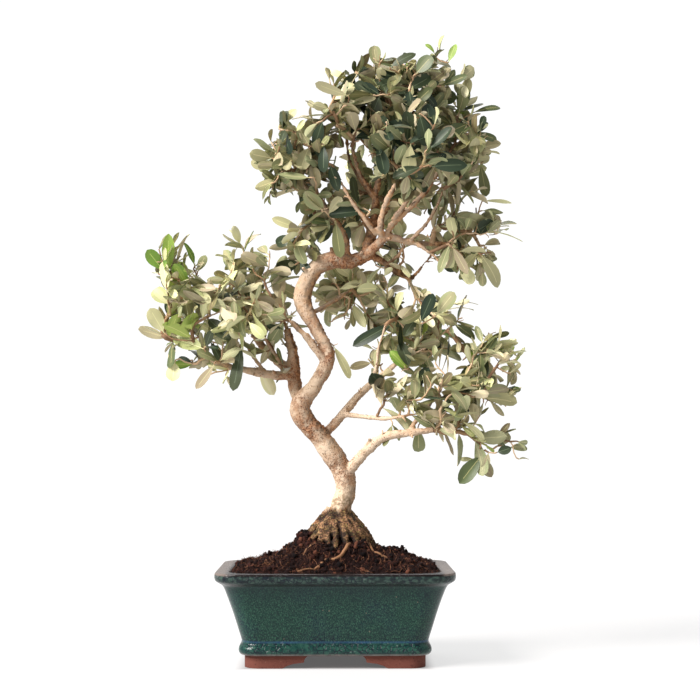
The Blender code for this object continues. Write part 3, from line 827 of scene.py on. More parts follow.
SIDE_LIMBS = (  # thinner limbs that leave the boughs, as x, y, z, radius
    ((40, 14, 388, 3.0), (34, 6, 404, 2.6), (22, -2, 422, 2.2), (14, -6, 446, 1.6)),
    ((36, -14, 368, 2.6), (26, -20, 380, 2.4), (14, -22, 396, 2.0), (4, -20, 414, 1.5)),
    ((50, -16, 380, 2.6), (62, -22, 396, 2.2), (70, -26, 416, 1.8), (74, -30, 438, 1.3)),
    ((38, 4, 420, 2.4), (46, 8, 440, 2.0), (50, 10, 466, 1.6), (50, 8, 492, 1.2)),
    ((36, 8, 402, 2.4), (24, 14, 418, 2.0), (12, 16, 440, 1.6), (10, 14, 466, 1.2)),
    ((66, -12, 364, 2.0), (78, -14, 376, 1.8), (88, -14, 392, 1.5), (94, -12, 408, 1.1)),
    ((70, -10, 361, 1.9), (82, -14, 352, 1.6), (94, -16, 340, 1.2)),
    ((-8, -1, 392, 2.0), (-22, -6, 404, 1.7), (-34, -8, 424, 1.3)),
    ((34, 0, 366, 2.6), (24, 6, 384, 2.2), (12, 10, 398, 1.8), (-6, 12, 408, 1.3)),
    ((46, 2, 344, 2.0), (56, -4, 352, 1.8), (62, -8, 366, 1.4)),
    ((-60, 3, 247, 2.0), (-72, 8, 262, 1.7), (-84, 12, 282, 1.3)),
    ((-46, 14, 256, 2.2), (-58, 8, 272, 1.9), (-68, 4, 292, 1.5), (-80, 2, 314, 1.1)),
    ((30, 18, 238, 2.2), (36, 12, 252, 1.9), (38, 6, 270, 1.5), (44, 2, 290, 1.1)),
    ((62, -28, 196, 2.2), (72, -24, 210, 1.9), (86, -20, 226, 1.6), (98, -16, 246, 1.2)),
    ((46, 24, 250, 2.0), (62, 22, 262, 1.7), (82, 14, 272, 1.3), (98, 8, 286, 1.0)),
)
LIMB_STEPS = 8
TRUNK_SIDES = 28
BOUGH_SIDES = 18
ROOT_AXIS = (2.5, 0.0)
ROOT_PROFILE = (  # height, reach of the flare
    (133.5, 9.0), (129.5, 10.8), (127.0, 12.8), (124.5, 15.0), (122.0, 16.8), (119.3, 19.4), (116.7, 21.4),
    (114.0, 23.4), (111.5, 25.4), (109.0, 27.6), (106.0, 29.4), (101.0, 32.0), (95.0, 35.0),
)
RIDGE_STEPS = 7
ROOT_RIDGES = (  # bearing at the top and at the ground in degrees, -90 to the front; top; thickness; reach
    (176, 184, 131, 3.6, 1.04), (-158, -163, 126, 3.0, 1.0), (-140, -145, 130, 3.6, 1.0),
    (-124, -127, 132, 3.8, 0.98), (-108, -110, 131, 3.4, 0.94), (-94, -98, 128, 3.0, 0.96),
    (-78, -74, 130, 3.8, 0.94), (-60, -54, 131, 3.6, 0.98), (-42, -35, 129, 3.4, 1.0),
    (-24, -17, 130, 3.6, 1.0), (-3, 2, 131, 3.6, 1.02), (16, 20, 129, 3.4, 1.0), (34, 36, 131, 3.8, 0.97),
    (54, 58, 129, 3.4, 1.0), (72, 76, 131, 3.8, 0.96), (92, 94, 129, 3.4, 1.0), (112, 114, 132, 3.8, 0.97),
    (132, 132, 130, 3.4, 1.0), (154, 158, 131, 3.6, 1.02),
)
SURFACE_ROOTS = (  # roots that lie half sunk on the soil: x, y at each knot, and the radius
    (((12, -27), (9, -36), (2, -44), (-8, -46), (-14, -50), (-22, -55), (-31, -59)), 1.7),
    (((24, -20), (31, -27), (37, -33), (45, -36)), 1.2),
    (((-14, -22), (-22, -29), (-27, -38)), 1.2),
    (((34, -6), (42, -14), (51, -16)), 1.1),
    (((-24, 6), (-33, 12), (-44, 14)), 1.3),
    (((14, 26), (20, 36), (31, 43)), 1.4),
)
BARK_VOXEL = 0.95
BARK_SINK = 0.2  # how far the relief lies below the skin on the whole
RIGHT_SIDE_SHADE = 0.78  # painted shade: how much browner the bark's sides that face right, away from the key light, are painted
ELBOW_HEIGHT = 204.0  # where the trunk's first bend is split and rusty, with painted shade in its inside
RUST_SPOTS = (  # x, y, z, reach: where the bark has split and healed; the spots round the first bend, near z 200, also paint shade in its inside
    (2, -6, 166, 15), (-6, -8, 262, 12), (-12, -8, 246, 9), (-24, -12, 203, 16), (-30, -10, 220, 13),
    (-38, 6, 246, 16), (-20, 2, 290, 9), (4, -4, 341, 20), (24, -4, 346, 16), (38, -8, 358, 12),
    (8, -6, 158, 10), (36, 12, 384, 14), (30, 0, 352, 12), (-12, -9, 204, 17), (-22, -14, 194, 11),
    (14, -7, 170, 7),
)
STUB_TAPER = (1.5, 1.1, 1.0, 0.92)
STUBS = (  # foot, tip, radius: sawn-off and broken side shoots
    ((-17, -5, 193), (-23, -13, 197), 2.2), ((12, -3, 164), (17, -9, 168), 2.4),
    ((29, -16, 187), (29, -22, 191), 1.3), ((-22, 1, 333), (-29, -6, 340), 1.8),
    ((-38, 9, 262), (-37, -1, 268), 2.6), ((-52, 5, 247), (-55, -3, 250), 1.4),
    ((9, 7, 214), (9, 0, 219), 1.2), ((22, 14, 230), (20, 8, 234), 1.1),
    ((62, -28, 197), (66, -33, 191), 1.1), ((-8, -4, 254), (-3, -9, 259), 1.6),
    ((46, -12, 366), (47, -19, 363), 1.4), ((34, 8, 380), (27, 2, 386), 1.9),
    ((0, 2, 349), (-4, -3, 358), 2.0), ((64, 11, 335), (67, 5, 330), 1.6),
    ((-70, 2, 249), (-72, -4, 245), 1.0), ((20, -2, 348), (24, -9, 354), 2.2),
    ((-46, 15, 255), (-52, 7, 262), 2.2),
)


def flare_reach(z):
    """How far the root flare reaches from its axis at a height."""
    heights, reaches = zip(*reversed(ROOT_PROFILE))
    return np.interp(z, heights, reaches)


def add_roots(heap, rng):
    """Ridges that run from the trunk down and out over the root flare into the soil."""
    core_heights, core_radii = zip(*(knot[2:] for knot in TRUNK[:FLARE_KNOTS]))
    for bearing, end_bearing, top, thick, reach in ROOT_RIDGES:
        knots = []
        for step in range(RIDGE_STEPS + 1):
            share = step / RIDGE_STEPS
            z = top + (ROOT_PROFILE[-1][0] - top) * share
            radius = thick * (0.5 + 0.36 * math.sin(math.pi * min(1, 0.1 + 0.9 * share)) + 0.2 * share)
            radius *= rng.uniform(0.85, 1.15)
            blend = min(1.0, share / (0.12 if reach > 1 else 0.4))
            blend = blend * blend * (3 - 2 * blend)
            core = np.interp(z, core_heights, core_radii) - 0.45 * radius
            out = core + (flare_reach(z) * reach - 0.3 - radius - core) * blend
            turn = math.radians(bearing + (end_bearing - bearing) * share + rng.gauss(0, 1.6))
            knots.append((ROOT_AXIS[0] + out * math.cos(turn), out * math.sin(turn), z, radius))
        path = smooth_path(knots, 4)
        heap.add_tube(path[:, :3], path[:, 3], 12)


def add_limb(heap, knots, sides, uneven, rng):
    """A limb whose outline swells and narrows by a share."""
    path = smooth_path(knots, LIMB_STEPS)
    seed = rng.uniform(0, 99)
    swell = [1 + uneven * lumps(p[:3], 11, 2, seed) for p in path]
    heap.add_tube(path[:, :3], path[:, 3] * swell, sides)


def bark_skin(rng):
    """Trunk, boughs, stubs and roots melted into one skin."""
    heap = Heap()
    add_limb(heap, TRUNK, TRUNK_SIDES, 0.05, rng)
    for knots in (*BOUGHS.values(), *SIDE_LIMBS):
        add_limb(heap, knots, BOUGH_SIDES, 0.14, rng)
    for foot, tip, radius in STUBS:
        heap.add_tube(np.linspace(foot, tip, 4), [radius * share for share in STUB_TAPER], 12)
    add_roots(heap, rng)
    raw = add_object("raw_bark", heap.mesh("raw_bark"))
    remesh = raw.modifiers.new("skin", "REMESH")
    remesh.mode = "VOXEL"
    remesh.voxel_size = BARK_VOXEL * MM
    smooth = raw.modifiers.new("soften", "SMOOTH")
    smooth.factor = 0.5
    smooth.iterations = 3
    return baked(raw, "bark")


def vertex_rows(mesh, name):
    """The places or normals of a mesh's points, a row of three numbers for each."""
    rows = np.empty(len(mesh.vertices) * 3, np.float32)
    mesh.vertices.foreach_get(name, rows)
    return rows.reshape(-1, 3).astype(float)


def ramp(values, start, end):
    """0 up to start, 1 from end on and even between them; start above end turns it round."""
    return np.clip((values - start) / (end - start), 0, 1)


def bark_masks(places, normals):
    """How much browner the bark is at each place, painted shade included, how rusty, how root-like, and its
    painted shade in the flare's hollows, in the order of BARK_MASKS.
    """
    x, y, z = places.T
    sweep = np.arctan2(y - ROOT_AXIS[1], x - ROOT_AXIS[0])
    foot = np.clip((ROOT_PROFILE[0][0] - z + 1.6 * np.sin(5 * sweep) + np.sin(13 * sweep)) / 5, 0, 1)
    rust = np.zeros(len(places))
    for *spot, reach in RUST_SPOTS:
        away = np.linalg.norm(places - spot, axis=1) / reach
        rust = np.maximum(rust, np.clip(1.25 - away, 0, 1))
    # browner: the crown's limbs, the left bough and the low boughs' ends; painted shade, also brown: the
    # upper trunk under the crown, all sides that face right and the inside of the first bend
    warm_and_shade = ramp(x, -22, 4) * ramp(z, 322, 334) * np.clip((y + 20) / 18, 0.6, 1)
    warm_and_shade += 0.45 * ramp(x, -28, -33) * ramp(z, 226, 234) * ramp(z, 296, 288)
    # painted shade on the upper trunk, under the crown
    warm_and_shade += 0.36 * ramp(z, 262, 274) * ramp(z, 340, 328)
    warm_and_shade += (z < 225) * np.clip((np.abs(x - 6) - 30) / 90, 0, 0.5)
    # painted shade: the sides that face right, away from the key light, turn browner
    warm_and_shade += RIGHT_SIDE_SHADE * np.clip(normals[:, 0] * 1.3 - 0.1, 0, 1) * (z > 130)
    # the inside of the first bend: rust, and painted shade
    warm_and_shade += 0.6 * rust * np.clip(1.2 - np.abs(z - ELBOW_HEIGHT) / 16, 0, 1)
    out = np.hypot(x - ROOT_AXIS[0], y - ROOT_AXIS[1])
    # painted shade: the recesses between the root ridges turn near black
    hollow_shade = foot * np.clip((flare_reach(z) * 0.975 - 1.0 - out) / 2.1, 0, 1)
    return warm_and_shade, rust, foot, hollow_shade


def make_bark(material, rng):
    """The bark's skin with relief and the masks that its colours use."""
    mesh = bark_skin(rng)
    places = vertex_rows(mesh, "co") / MM
    normals = vertex_rows(mesh, "normal")
    masks = bark_masks(places, normals)
    relief = np.zeros(len(places))
    for i, (place, warm_and_shade, rust, foot) in enumerate(zip(places, *masks[:3])):
        coarse, fine = lumps(place, 7, 3, 1.5), lumps(place, 2.2, 2, 8.0)
        rough = max(rust, 1.3 * warm_and_shade)
        relief[i] = (0.35 + 0.4 * warm_and_shade) * coarse + (0.14 + 0.35 * rough + 0.55 * foot) * fine
    places += normals * (relief - BARK_SINK)[:, None]
    mesh.vertices.foreach_set("co", (places * MM).astype(np.float32).ravel())
    mesh.update()
    for name, values in zip(BARK_MASKS, masks):
        attribute = mesh.attributes.new(name, "FLOAT", "POINT")
        attribute.data.foreach_set("value", values.astype(np.float32))
    mesh.shade_smooth()
    piece("bark", mesh, (material,), ("trunk", *BOUGHS))


def make_surface_roots(material):
    roots = Heap()
    for knots, radius in SURFACE_ROOTS:
        path = smooth_path(knots, 6)
        radii = radius * (1 - 0.55 * np.arange(len(path)) / len(path))
        heights = [soil_height(x, y, False) + 0.35 * r for (x, y), r in zip(path, radii)]
        roots.add_tube(np.column_stack([path, heights]), radii, 10)
    piece("surface_roots", roots.mesh("surface_roots"), (material,))


# ---- twigs and leaves

MASSES = [name for name in NODES if name.startswith("foliage_")]
CROWN_MIDDLE = 20.0  # x of the line from which leaves and sprays turn outwards
SINGLE_LEAST = 7.0  # least width of a leaf that stands out
SPRAY_GAP = 14.5  # least distance between two spray tips
SPRAY_ROOM = 8.0  # a spray ends where nearly all points this far round it are inside a mass
SPRAY_BARE = 3  # and how many of those points may be outside
SPRAY_TRIES = 16000
SPRAY_BEARING = (24, 54)  # how much of a twig's end bears leaves
SPRAY_SIZES = (0.8, 1.15)
PAIR_GAP = (4.8, 8.4)
PAIR_SKIP = 0.2  # how often a leaf of a pair is missing
TWIG_STEP = 4.0
TWIG_TIP = 0.66  # radius
TWIG_BRANCH = 2.3  # exponent of the pipe rule: the limb's radius to this power is the sum of its twigs'
TWIG_SIDES = 6
TWIG_TONES = ((212, 182, 148), (192, 160, 126), (160, 126, 94), (130, 100, 74), (182, 162, 118))
THIN_TWIG = 1.1  # radius up to which a twig takes its tone by the first of these shares
TWIG_SHARES = ((2, 2, 1, 1, 1), (0, 1, 2, 1))
SPURS = 420
SPUR_SHARES = (1, 1, 1, 1)
LIMB_START = 0.3  # share of a limb's length before which no twig leaves it
BOUGH_START = 0.45
LEAF_ROWS = np.array((0.0, 0.09, 0.17, 0.29, 0.43, 0.57, 0.71, 0.83, 0.93, 1.0))
LEAF_COLUMNS = np.array((-1.0, -0.5, -0.07, 0.07, 0.5, 1.0))
LEAF_THICKNESS = 0.35
LEAF_EDGE_ANGLE = 60.0
PETIOLE = 0.09  # share of a leaf's length
PETIOLE_HALF = 0.42  # half its width
RIB_HALF = 0.3
RIB_COLUMN = 0.2  # the columns of a leaf that lie closer to its middle than this bound its rib
LEAF_LENGTH = (20, 33)
CROWN_LEAF_SIZE = 0.88  # the crown's leaves are shorter
YOUNG_LEAF = (0.45, 0.95)  # share of the full length at a twig's tip
LEAF_WIDTH = (0.29, 0.46)  # as a share of its length
CROWN_LEAF_WIDTH = (0.4, 0.56)  # and broader
LEAF_OVERHANG = 4.0  # how far a leaf's tip may stand out of the masses
LEAF_DRAWS = 6  # how often a leaf is turned another way if it doesn't fit
LEAF_DROP = 0.85  # and how often it is left out if it never does
LEAF_PROBES = (0.35, 0.7, 1.0)  # shares of a leaf's length at which it must leave the openings clear

UPPER = {  # tones of the upper side, from green to brown
    "dark": ((38, 52, 38), (46, 60, 42), (54, 66, 44), (66, 74, 50)),
    "olive": ((84, 96, 60), (96, 104, 66), (112, 114, 74), (132, 128, 86), (122, 110, 80)),
    "sage": ((140, 146, 104), (152, 156, 112), (162, 158, 118), (178, 172, 134), (170, 156, 126)),
    "fresh": ((101, 136, 54), (114, 147, 59), (142, 169, 75)),
    "pale": ((188, 194, 134), (206, 210, 150), (224, 222, 170), (216, 212, 162)),
}
UNDER = {  # tones of the underside, from green to brown
    "dark": ((148, 154, 114), (160, 160, 124), (170, 160, 132)),
    "olive": ((152, 156, 112), (166, 162, 120), (178, 168, 132)),
    "sage": ((178, 180, 138), (190, 186, 146), (200, 188, 156)),
    "fresh": ((161, 180, 94), (180, 197, 108)),
    "pale": ((212, 212, 164), (228, 226, 178), (234, 230, 190)),
}
RIB = {  # and of the midrib, on the upper side and the underside
    "dark": ((88, 102, 74), (189, 186, 141)),
    "olive": ((154, 151, 100), (204, 194, 145)),
    "sage": ((194, 188, 141), (219, 211, 164)),
    "fresh": ((173, 192, 100), (215, 223, 139)),
    "pale": ((238, 234, 178), (238, 236, 185)),
}
TONE_SHARES = {  # how a mass's sprays share out the tones: dark, olive, sage, fresh, pale
    "default": (20, 32, 32, 1, 15),
    "foliage_crown_top": (32, 46, 16, 1, 5),
    "foliage_crown_front": (48, 36, 12, 0, 4),
    "foliage_crown_top_left": (26, 44, 23, 1, 6),
    "foliage_crown_left": (22, 42, 27, 1, 8),
    "foliage_crown_right": (24, 46, 22, 1, 7),
    "foliage_crown_right_low": (6, 26, 46, 3, 19),
    "foliage_crown_hanging": (16, 24, 40, 1, 19),
    "foliage_left_tip": (8, 16, 30, 14, 32),
    "foliage_left_low": (12, 18, 42, 1, 27),
    "foliage_left_front": (12, 24, 38, 1, 25),
    "foliage_left_back": (12, 24, 38, 2, 24),
    "foliage_left_inner": (14, 26, 38, 1, 21),
    "foliage_right_outer": (8, 28, 46, 4, 14),
    "foliage_right_low": (8, 30, 46, 1, 15),
    "foliage_right_tip": (12, 36, 30, 12, 10),
}
REGIONS = {  # the leaves of each region are one piece
    "leaves_crown_top": ("foliage_crown_top", "foliage_crown_top_left", "foliage_crown_left"),
    "leaves_crown_middle": ("foliage_crown_front", "foliage_crown_back", "foliage_crown_right",
                            "foliage_crown_right_low", "foliage_crown_left_low",
                            "foliage_crown_hanging"),
    "leaves_left": ("foliage_left_tip", "foliage_left_back", "foliage_left_front", "foliage_left_inner",
                    "foliage_left_low"),
    "leaves_right": ("foliage_middle", "foliage_middle_low", "foliage_right_inner", "foliage_right_outer",
                     "foliage_right_low", "foliage_right_tip"),
}
OPENINGS = (  # x, z, radius, on the plane y = 0: gaps that show the sky, and bays in the outline
    (23, 476, 5.0), (-37, 470, 3.4), (28, 442, 3.6), (31, 430, 4.7), (8, 417, 3.5), (119, 398, 3.4),
    (78, 380, 8.5), (64, 385, 5.1), (126, 365, 6.2), (63, 353, 5.6), (-55, 349, 6.0), (-57, 323, 4.2),
    (65, 316, 4.2), (19, 308, 4.0), (-102, 298, 4.9), (4, 294, 3.4), (15, 283, 10.5), (113, 276, 4.4),
    (31, 274, 4.1), (8, 237, 24.6), (-26, 256, 10.4), (-129, 265, 4.7), (106, 256, 5.8), (141, 257, 4.4),
    (-69, 255, 5.8), (144, 245, 4.8), (23, 203, 21.6), (95, 233, 3.8), (45, 539, 10.5), (78, 538, 10.5),
    (-12, 496, 10.5), (-63, 464, 12.2), (-42, 391, 10.5), (148, 360, 11.3), (152, 342, 11.3),
    (20, 273, 7.0), (46, 258, 7.0), (144, 169, 10.5), (161, 163, 8.7), (142, 214, 6.1), (-161, 326, 7.0),
    (23, 265, 7.0), (61, 540, 10.5), (121, 300, 8.7), (158, 296, 7.8), (-119, 356, 6.1), (-107, 347, 7.0),
    (-172, 272, 9.0), (131, 506, 10.5), (-77, 418, 8.7), (92, 328, 10.5), (78, 338, 7.8), (106, 319, 7.0),
)
SINGLES = {  # leaves that stand out, by tone: foot, tip, width
    "pale": (
        ((92, 0, 532), (93, 0, 548), 4), ((12, 0, 507), (-10, 0, 519), 8),
        ((-46, 0, 468), (-35, 0, 483), 8), ((131, 0, 400), (155, 0, 398), 3),
        ((133, 0, 374), (166, 0, 368), 4),
        ((103, -21, 364), (99, -25, 382), 10), ((-32, 0, 375), (-56, 0, 383), 9),
        ((-143, -26, 305), (-155, -29, 320), 14), ((-147, -24, 281), (-159, -28, 302), 14),
        ((-138, -20, 257), (-140, -23, 240), 13), ((-82, 24, 357), (-92, 24, 379), 6),
        ((-2, 0, 272), (15, 0, 243), 8),
    ),
    "fresh": (
        ((100, 0, 523), (106, 0, 541), 5), ((88, 0, 531), (81, 0, 541), 4),
        ((-147, -26, 334), (-162, -29, 352), 12), ((-144, -27, 332), (-143, -31, 366), 11),
        ((-82, 24, 357), (-75, 24, 377), 4), ((64, 17, 252), (49, 13, 269), 11),
    ),
    "olive": (
        ((69, -40, 503), (82, -44, 518), 14), ((92, -12, 499), (115, -16, 508), 8),
        ((121, 0, 478), (148, 0, 488), 7), ((0, -10, 380), (4, -14, 348), 11),
        ((118, -33, 429), (124, -37, 451), 14), ((118, 0, 460), (145, 0, 457), 7),
        ((128, 2, 433), (133, -2, 404), 10), ((-138, -24, 334), (-131, -27, 366), 6),
        ((125, -31, 177), (105, -35, 153), 14),
    ),
    "sage": (
        ((36, 0, 518), (34, 0, 538), 11), ((11, -35, 485), (-18, -39, 494), 9),
        ((-2, -25, 471), (-38, -29, 469), 3), ((-22, -41, 413), (-49, -45, 414), 9),
        ((125, 0, 442), (145, 0, 445), 5), ((129, 0, 391), (148, 0, 390), 7),
        ((99, -19, 359), (89, -23, 334), 8), ((101, -20, 357), (114, -24, 332), 8),
        ((130, 0, 360), (146, 0, 367), 8), ((86, -2, 372), (87, -6, 395), 6),
        ((-104, -24, 254), (-119, -28, 233), 8), ((-121, 0, 336), (-114, 0, 352), 8),
        ((72, 0, 200), (73, -4, 179), 12), ((130, -36, 179), (126, -40, 163), 7),
        ((152, 0, 183), (168, 0, 184), 10), ((141, 0, 184), (152, 0, 196), 10),
        ((125, -22, 350), (146, -27, 322), 12), ((87, -20, 297), (102, -24, 317), 13),
    ),
    "dark": (
        ((47, -39, 509), (68, -43, 523), 9), ((-11, -31, 464), (-18, -35, 442), 10),
        ((63, -41, 489), (65, -45, 471), 14), ((69, -86, 458), (77, -90, 432), 13),
        ((76, -89, 428), (97, -93, 444), 10), ((35, -82, 433), (41, -86, 408), 11),
        ((79, -83, 415), (109, -87, 417), 12), ((72, -79, 416), (47, -83, 407), 10),
        ((29, -16, 388), (-6, -20, 386), 12), ((9, -1, 382), (7, -5, 362), 12),
        ((-10, -31, 443), (-11, -35, 419), 10), ((-5, -21, 428), (3, -25, 405), 10),
        ((-81, -18, 272), (-87, -22, 231), 11), ((54, 17, 294), (15, 13, 273), 11),
        ((73, -24, 290), (84, -28, 315), 11), ((65, 12, 253), (59, 8, 276), 11),
        ((137, -36, 179), (149, -40, 183), 8),
    ),
}
LOOSE = {  # tips of the sprays that fill the room between the masses, by the mass whose tones they share
    "foliage_crown_front": ((20, -8, 394),),
    "foliage_crown_left_low": ((23, 8, 378), (18, 12, 365), (27, 14, 388)),
    "foliage_crown_right": ((50, 8, 405), (60, -10, 393), (74, -4, 407), (97, -4, 428), (112, 8, 420),
        (121, -6, 407), (103, 10, 406), (95, 14, 419), (112, 6, 487)),
    "foliage_crown_right_low": ((87, 10, 402), (79, 12, 390), (56, 14, 379), (65, -6, 366), (82, 12, 370),
        (91, -8, 376)),
    "foliage_middle": ((50, 16, 358), (61, 12, 347), (36, 14, 326), (46, 10, 313), (73, 8, 314),
        (83, -6, 301), (68, 12, 302), (61, 10, 359), (48, 16, 328), (36, 14, 345), (43, 10, 334),
        (54, 12, 342)),
    "foliage_right_inner": ((103, 4, 309), (104, 6, 281), (40, -10, 245), (52, -14, 238), (87, -10, 257),
        (35, -14, 227)),
    "foliage_right_outer": ((111, -4, 296), (97, -14, 246)),
    "foliage_right_low": ((44, -16, 224), (57, -18, 217), (37, -14, 212), (90, -18, 236), (49, -18, 203),
        (100, -28, 198), (113, -30, 195)),
    "foliage_left_tip": ((-146, -8, 297), (-150, -10, 281)),
    "foliage_left_front": ((-133, 4, 291), (-119, -12, 279)),
    "foliage_left_low": ((-139, -4, 276), (-114, -10, 267), (-127, 4, 259), (-70, 4, 261)),
    "foliage_left_inner": ((-72, 10, 277), (-61, 6, 267), (-50, 8, 256), (-45, 14, 278), (-68, 12, 253),
        (-60, 10, 354)),
    "foliage_left_back": ((-85, 22, 364),),
    "foliage_crown_top": ((108, -4, 505),),
    "foliage_crown_left": ((-54, -6, 417), (-60, 4, 431), (-1, -6, 424)),
}


class Mass:
    """One of the solids that the leaves fill."""

    def __init__(self, name):
        mesh = NODES[name].data
        self.name = name
        points = [v.co / MM for v in mesh.vertices]
        self.tree = BVHTree.FromPolygons(points, [tuple(p.vertices) for p in mesh.polygons])
        self.low, self.high = (Vector([end(p[i] for p in points) for i in range(3)]) for end in (min, max))
        self.middle = (self.low + self.high) / 2

    def holds(self, point, margin=1.0):
        """True if the point lies inside, or within margin millimetres of it."""
        sides = zip(point, self.low, self.high)
        if not all(low - margin < part < high + margin for part, low, high in sides):
            return False
        place, normal, _, away = self.tree.find_nearest(point)
        return away < margin or (point - place).dot(normal) < 0


class Skeleton:
    """Every point that a twig can leave from, and the twigs that have grown so far."""

    def __init__(self):
        self.places = []
        self.parents = []
        self.headings = []
        self.limits = []
        self.loads = []
        self.chains = []

    def add(self, place, parent, heading, limit):
        self.places.append(Vector(place))
        self.parents.append(parent)
        self.headings.append(heading)
        self.limits.append(limit)
        self.loads.append(0.0)
        return len(self.places) - 1

    def add_limb(self, knots, skip):
        path = smooth_path(knots, 6)
        parent = -1
        for step in range(int(skip * len(path)), len(path)):
            ahead = path[min(step + 1, len(path) - 1)] - path[max(step - 1, 0)]
            parent = self.add(path[step][:3], parent, Vector(ahead[:3]).normalized(), path[step][3])

    def nearest(self, target):
        """The best point to leave from, and its cost: near, and with its limb heading for the target."""
        ways = np.array(target) - np.array(self.places)
        away = np.maximum(np.linalg.norm(ways, axis=1), 0.01)
        along = (ways * np.array(self.headings)).sum(axis=1) / away
        costs = away * (1.5 - 0.5 * along) + np.where(away < 5, 50, 0)
        best = int(costs.argmin())
        return best, costs[best]

    def grow(self, target, ending, rng):
        """A twig from the best point to the target, which it reaches heading the way ending points."""
        start, _ = self.nearest(target)
        place, heading = self.places[start], self.headings[start]
        way = target - place
        away = way.length
        leaving = (heading * 0.55 + way.normalized()).normalized() * away * 0.9
        arriving = ending.normalized() * away * 0.8
        count = max(3, round(away / TWIG_STEP))
        chain = [start]
        before = place
        for step in range(1, count + 1):
            t = step / count
            point = (place * (2 * t**3 - 3 * t**2 + 1) + leaving * (t**3 - 2 * t**2 + t)
                     + target * (3 * t**2 - 2 * t**3) + arriving * (t**3 - t**2))
            if step < count:
                point = point + jitter(rng, 0.5)
            chain.append(self.add(point, chain[-1], (point - before).normalized(), 9.0))
            before = point
        self.chains.append(chain)
        return chain

    def load(self):
        """Pass each tip's share of wood down to the limbs."""
        for chain in self.chains:
            at = chain[-1]
            while at >= 0:
                self.loads[at] += TWIG_TIP**TWIG_BRANCH
                at = self.parents[at]

    def radius(self, index):
        return min(self.loads[index] ** (1 / TWIG_BRANCH), self.limits[index] * 0.75)


def in_opening(point, margin):
    """True if a point hides one of the gaps that show the sky from the front."""
    depth = CAMERA_PLACE[1] / (CAMERA_PLACE[1] - point[1])
    x = CAMERA_PLACE[0] + (point[0] - CAMERA_PLACE[0]) * depth
    z = CAMERA_PLACE[2] + (point[2] - CAMERA_PLACE[2]) * depth
    return any(math.hypot(x - gap_x, z - gap_z) < radius + margin for gap_x, gap_z, radius in OPENINGS)


def leaf_fits(masses, place, along, length):
    """True if a leaf stays in the masses, if there are any, and out of the openings."""
    tip = place + along * length
    if masses and not any(m.holds(tip, LEAF_OVERHANG) for m in masses):
        return False
    return not any(in_opening(place + along * length * share, 2.0) for share in LEAF_PROBES)


class Shoot:
    """A twig to be grown: where it ends, which way it points there, and the leaves it carries."""

    def __init__(self, tip, ending, mass, masses=(), leaf=None):
        self.tip = Vector(tip)
        self.ending = ending
        self.mass = mass
        self.masses = masses
        self.leaf = leaf
        self.chain = []


def spray_shoots(masses, rng):
    """Sprays spread evenly through the masses, a leaf's reach inside their outer skin."""
    shoots = []
    around = [Vector((x, y, z)).normalized() * SPRAY_ROOM for x in (-1, 0, 1) for y in (-1, 0, 1)
              for z in (-1, 0, 1) if abs(x) + abs(y) + abs(z) in (1, 3)]
    sizes = [math.prod(m.high - m.low) for m in masses]
    for _ in range(SPRAY_TRIES):
        mass = rng.choices(masses, sizes)[0]
        point = Vector([rng.uniform(low, high) for low, high in zip(mass.low, mass.high)])
        if not mass.holds(point) or any((point - other.tip).length < SPRAY_GAP for other in shoots):
            continue
        if in_opening(point, 0):
            continue
        if sum(not any(m.holds(point + step) for m in masses) for step in around) > SPRAY_BARE:
            continue
        outward = (point - mass.middle).normalized() if (point - mass.middle).length > 1 else UP
        shoots.append(Shoot(point, outward * 0.8 + UP * 0.4 + jitter(rng, 0.4), mass.name, masses))
    return shoots


def loose_shoots(rng):
    """Sprays between the masses, which spread sideways from the trunk's line."""
    shoots = []
    for mass, tips in LOOSE.items():
        for tip in tips:
            sideways = Vector((tip[0] - CROWN_MIDDLE, tip[1], 0)).normalized()
            shoots.append(Shoot(tip, sideways + jitter(rng, 0.5), mass))
    return shoots


def single_shoots():
    """Twigs that end in one leaf that stands out."""
    shoots = []
    for tone, leaves in SINGLES.items():
        for foot, tip, width in leaves:
            way = Vector(tip) - Vector(foot)
            shoots.append(Shoot(foot, way, "foliage_crown_front", leaf=(way, width, tone)))
    return shoots


def leaf_outline(t, belly, tip):
    """Half width of a leaf, as a share of its greatest, at shares t of its length."""
    blade = np.clip((t - PETIOLE) / (1 - PETIOLE), 0, 1)
    widest = belly / (belly + tip)
    return blade**belly * (1 - blade) ** tip / (widest**belly * (1 - widest) ** tip)


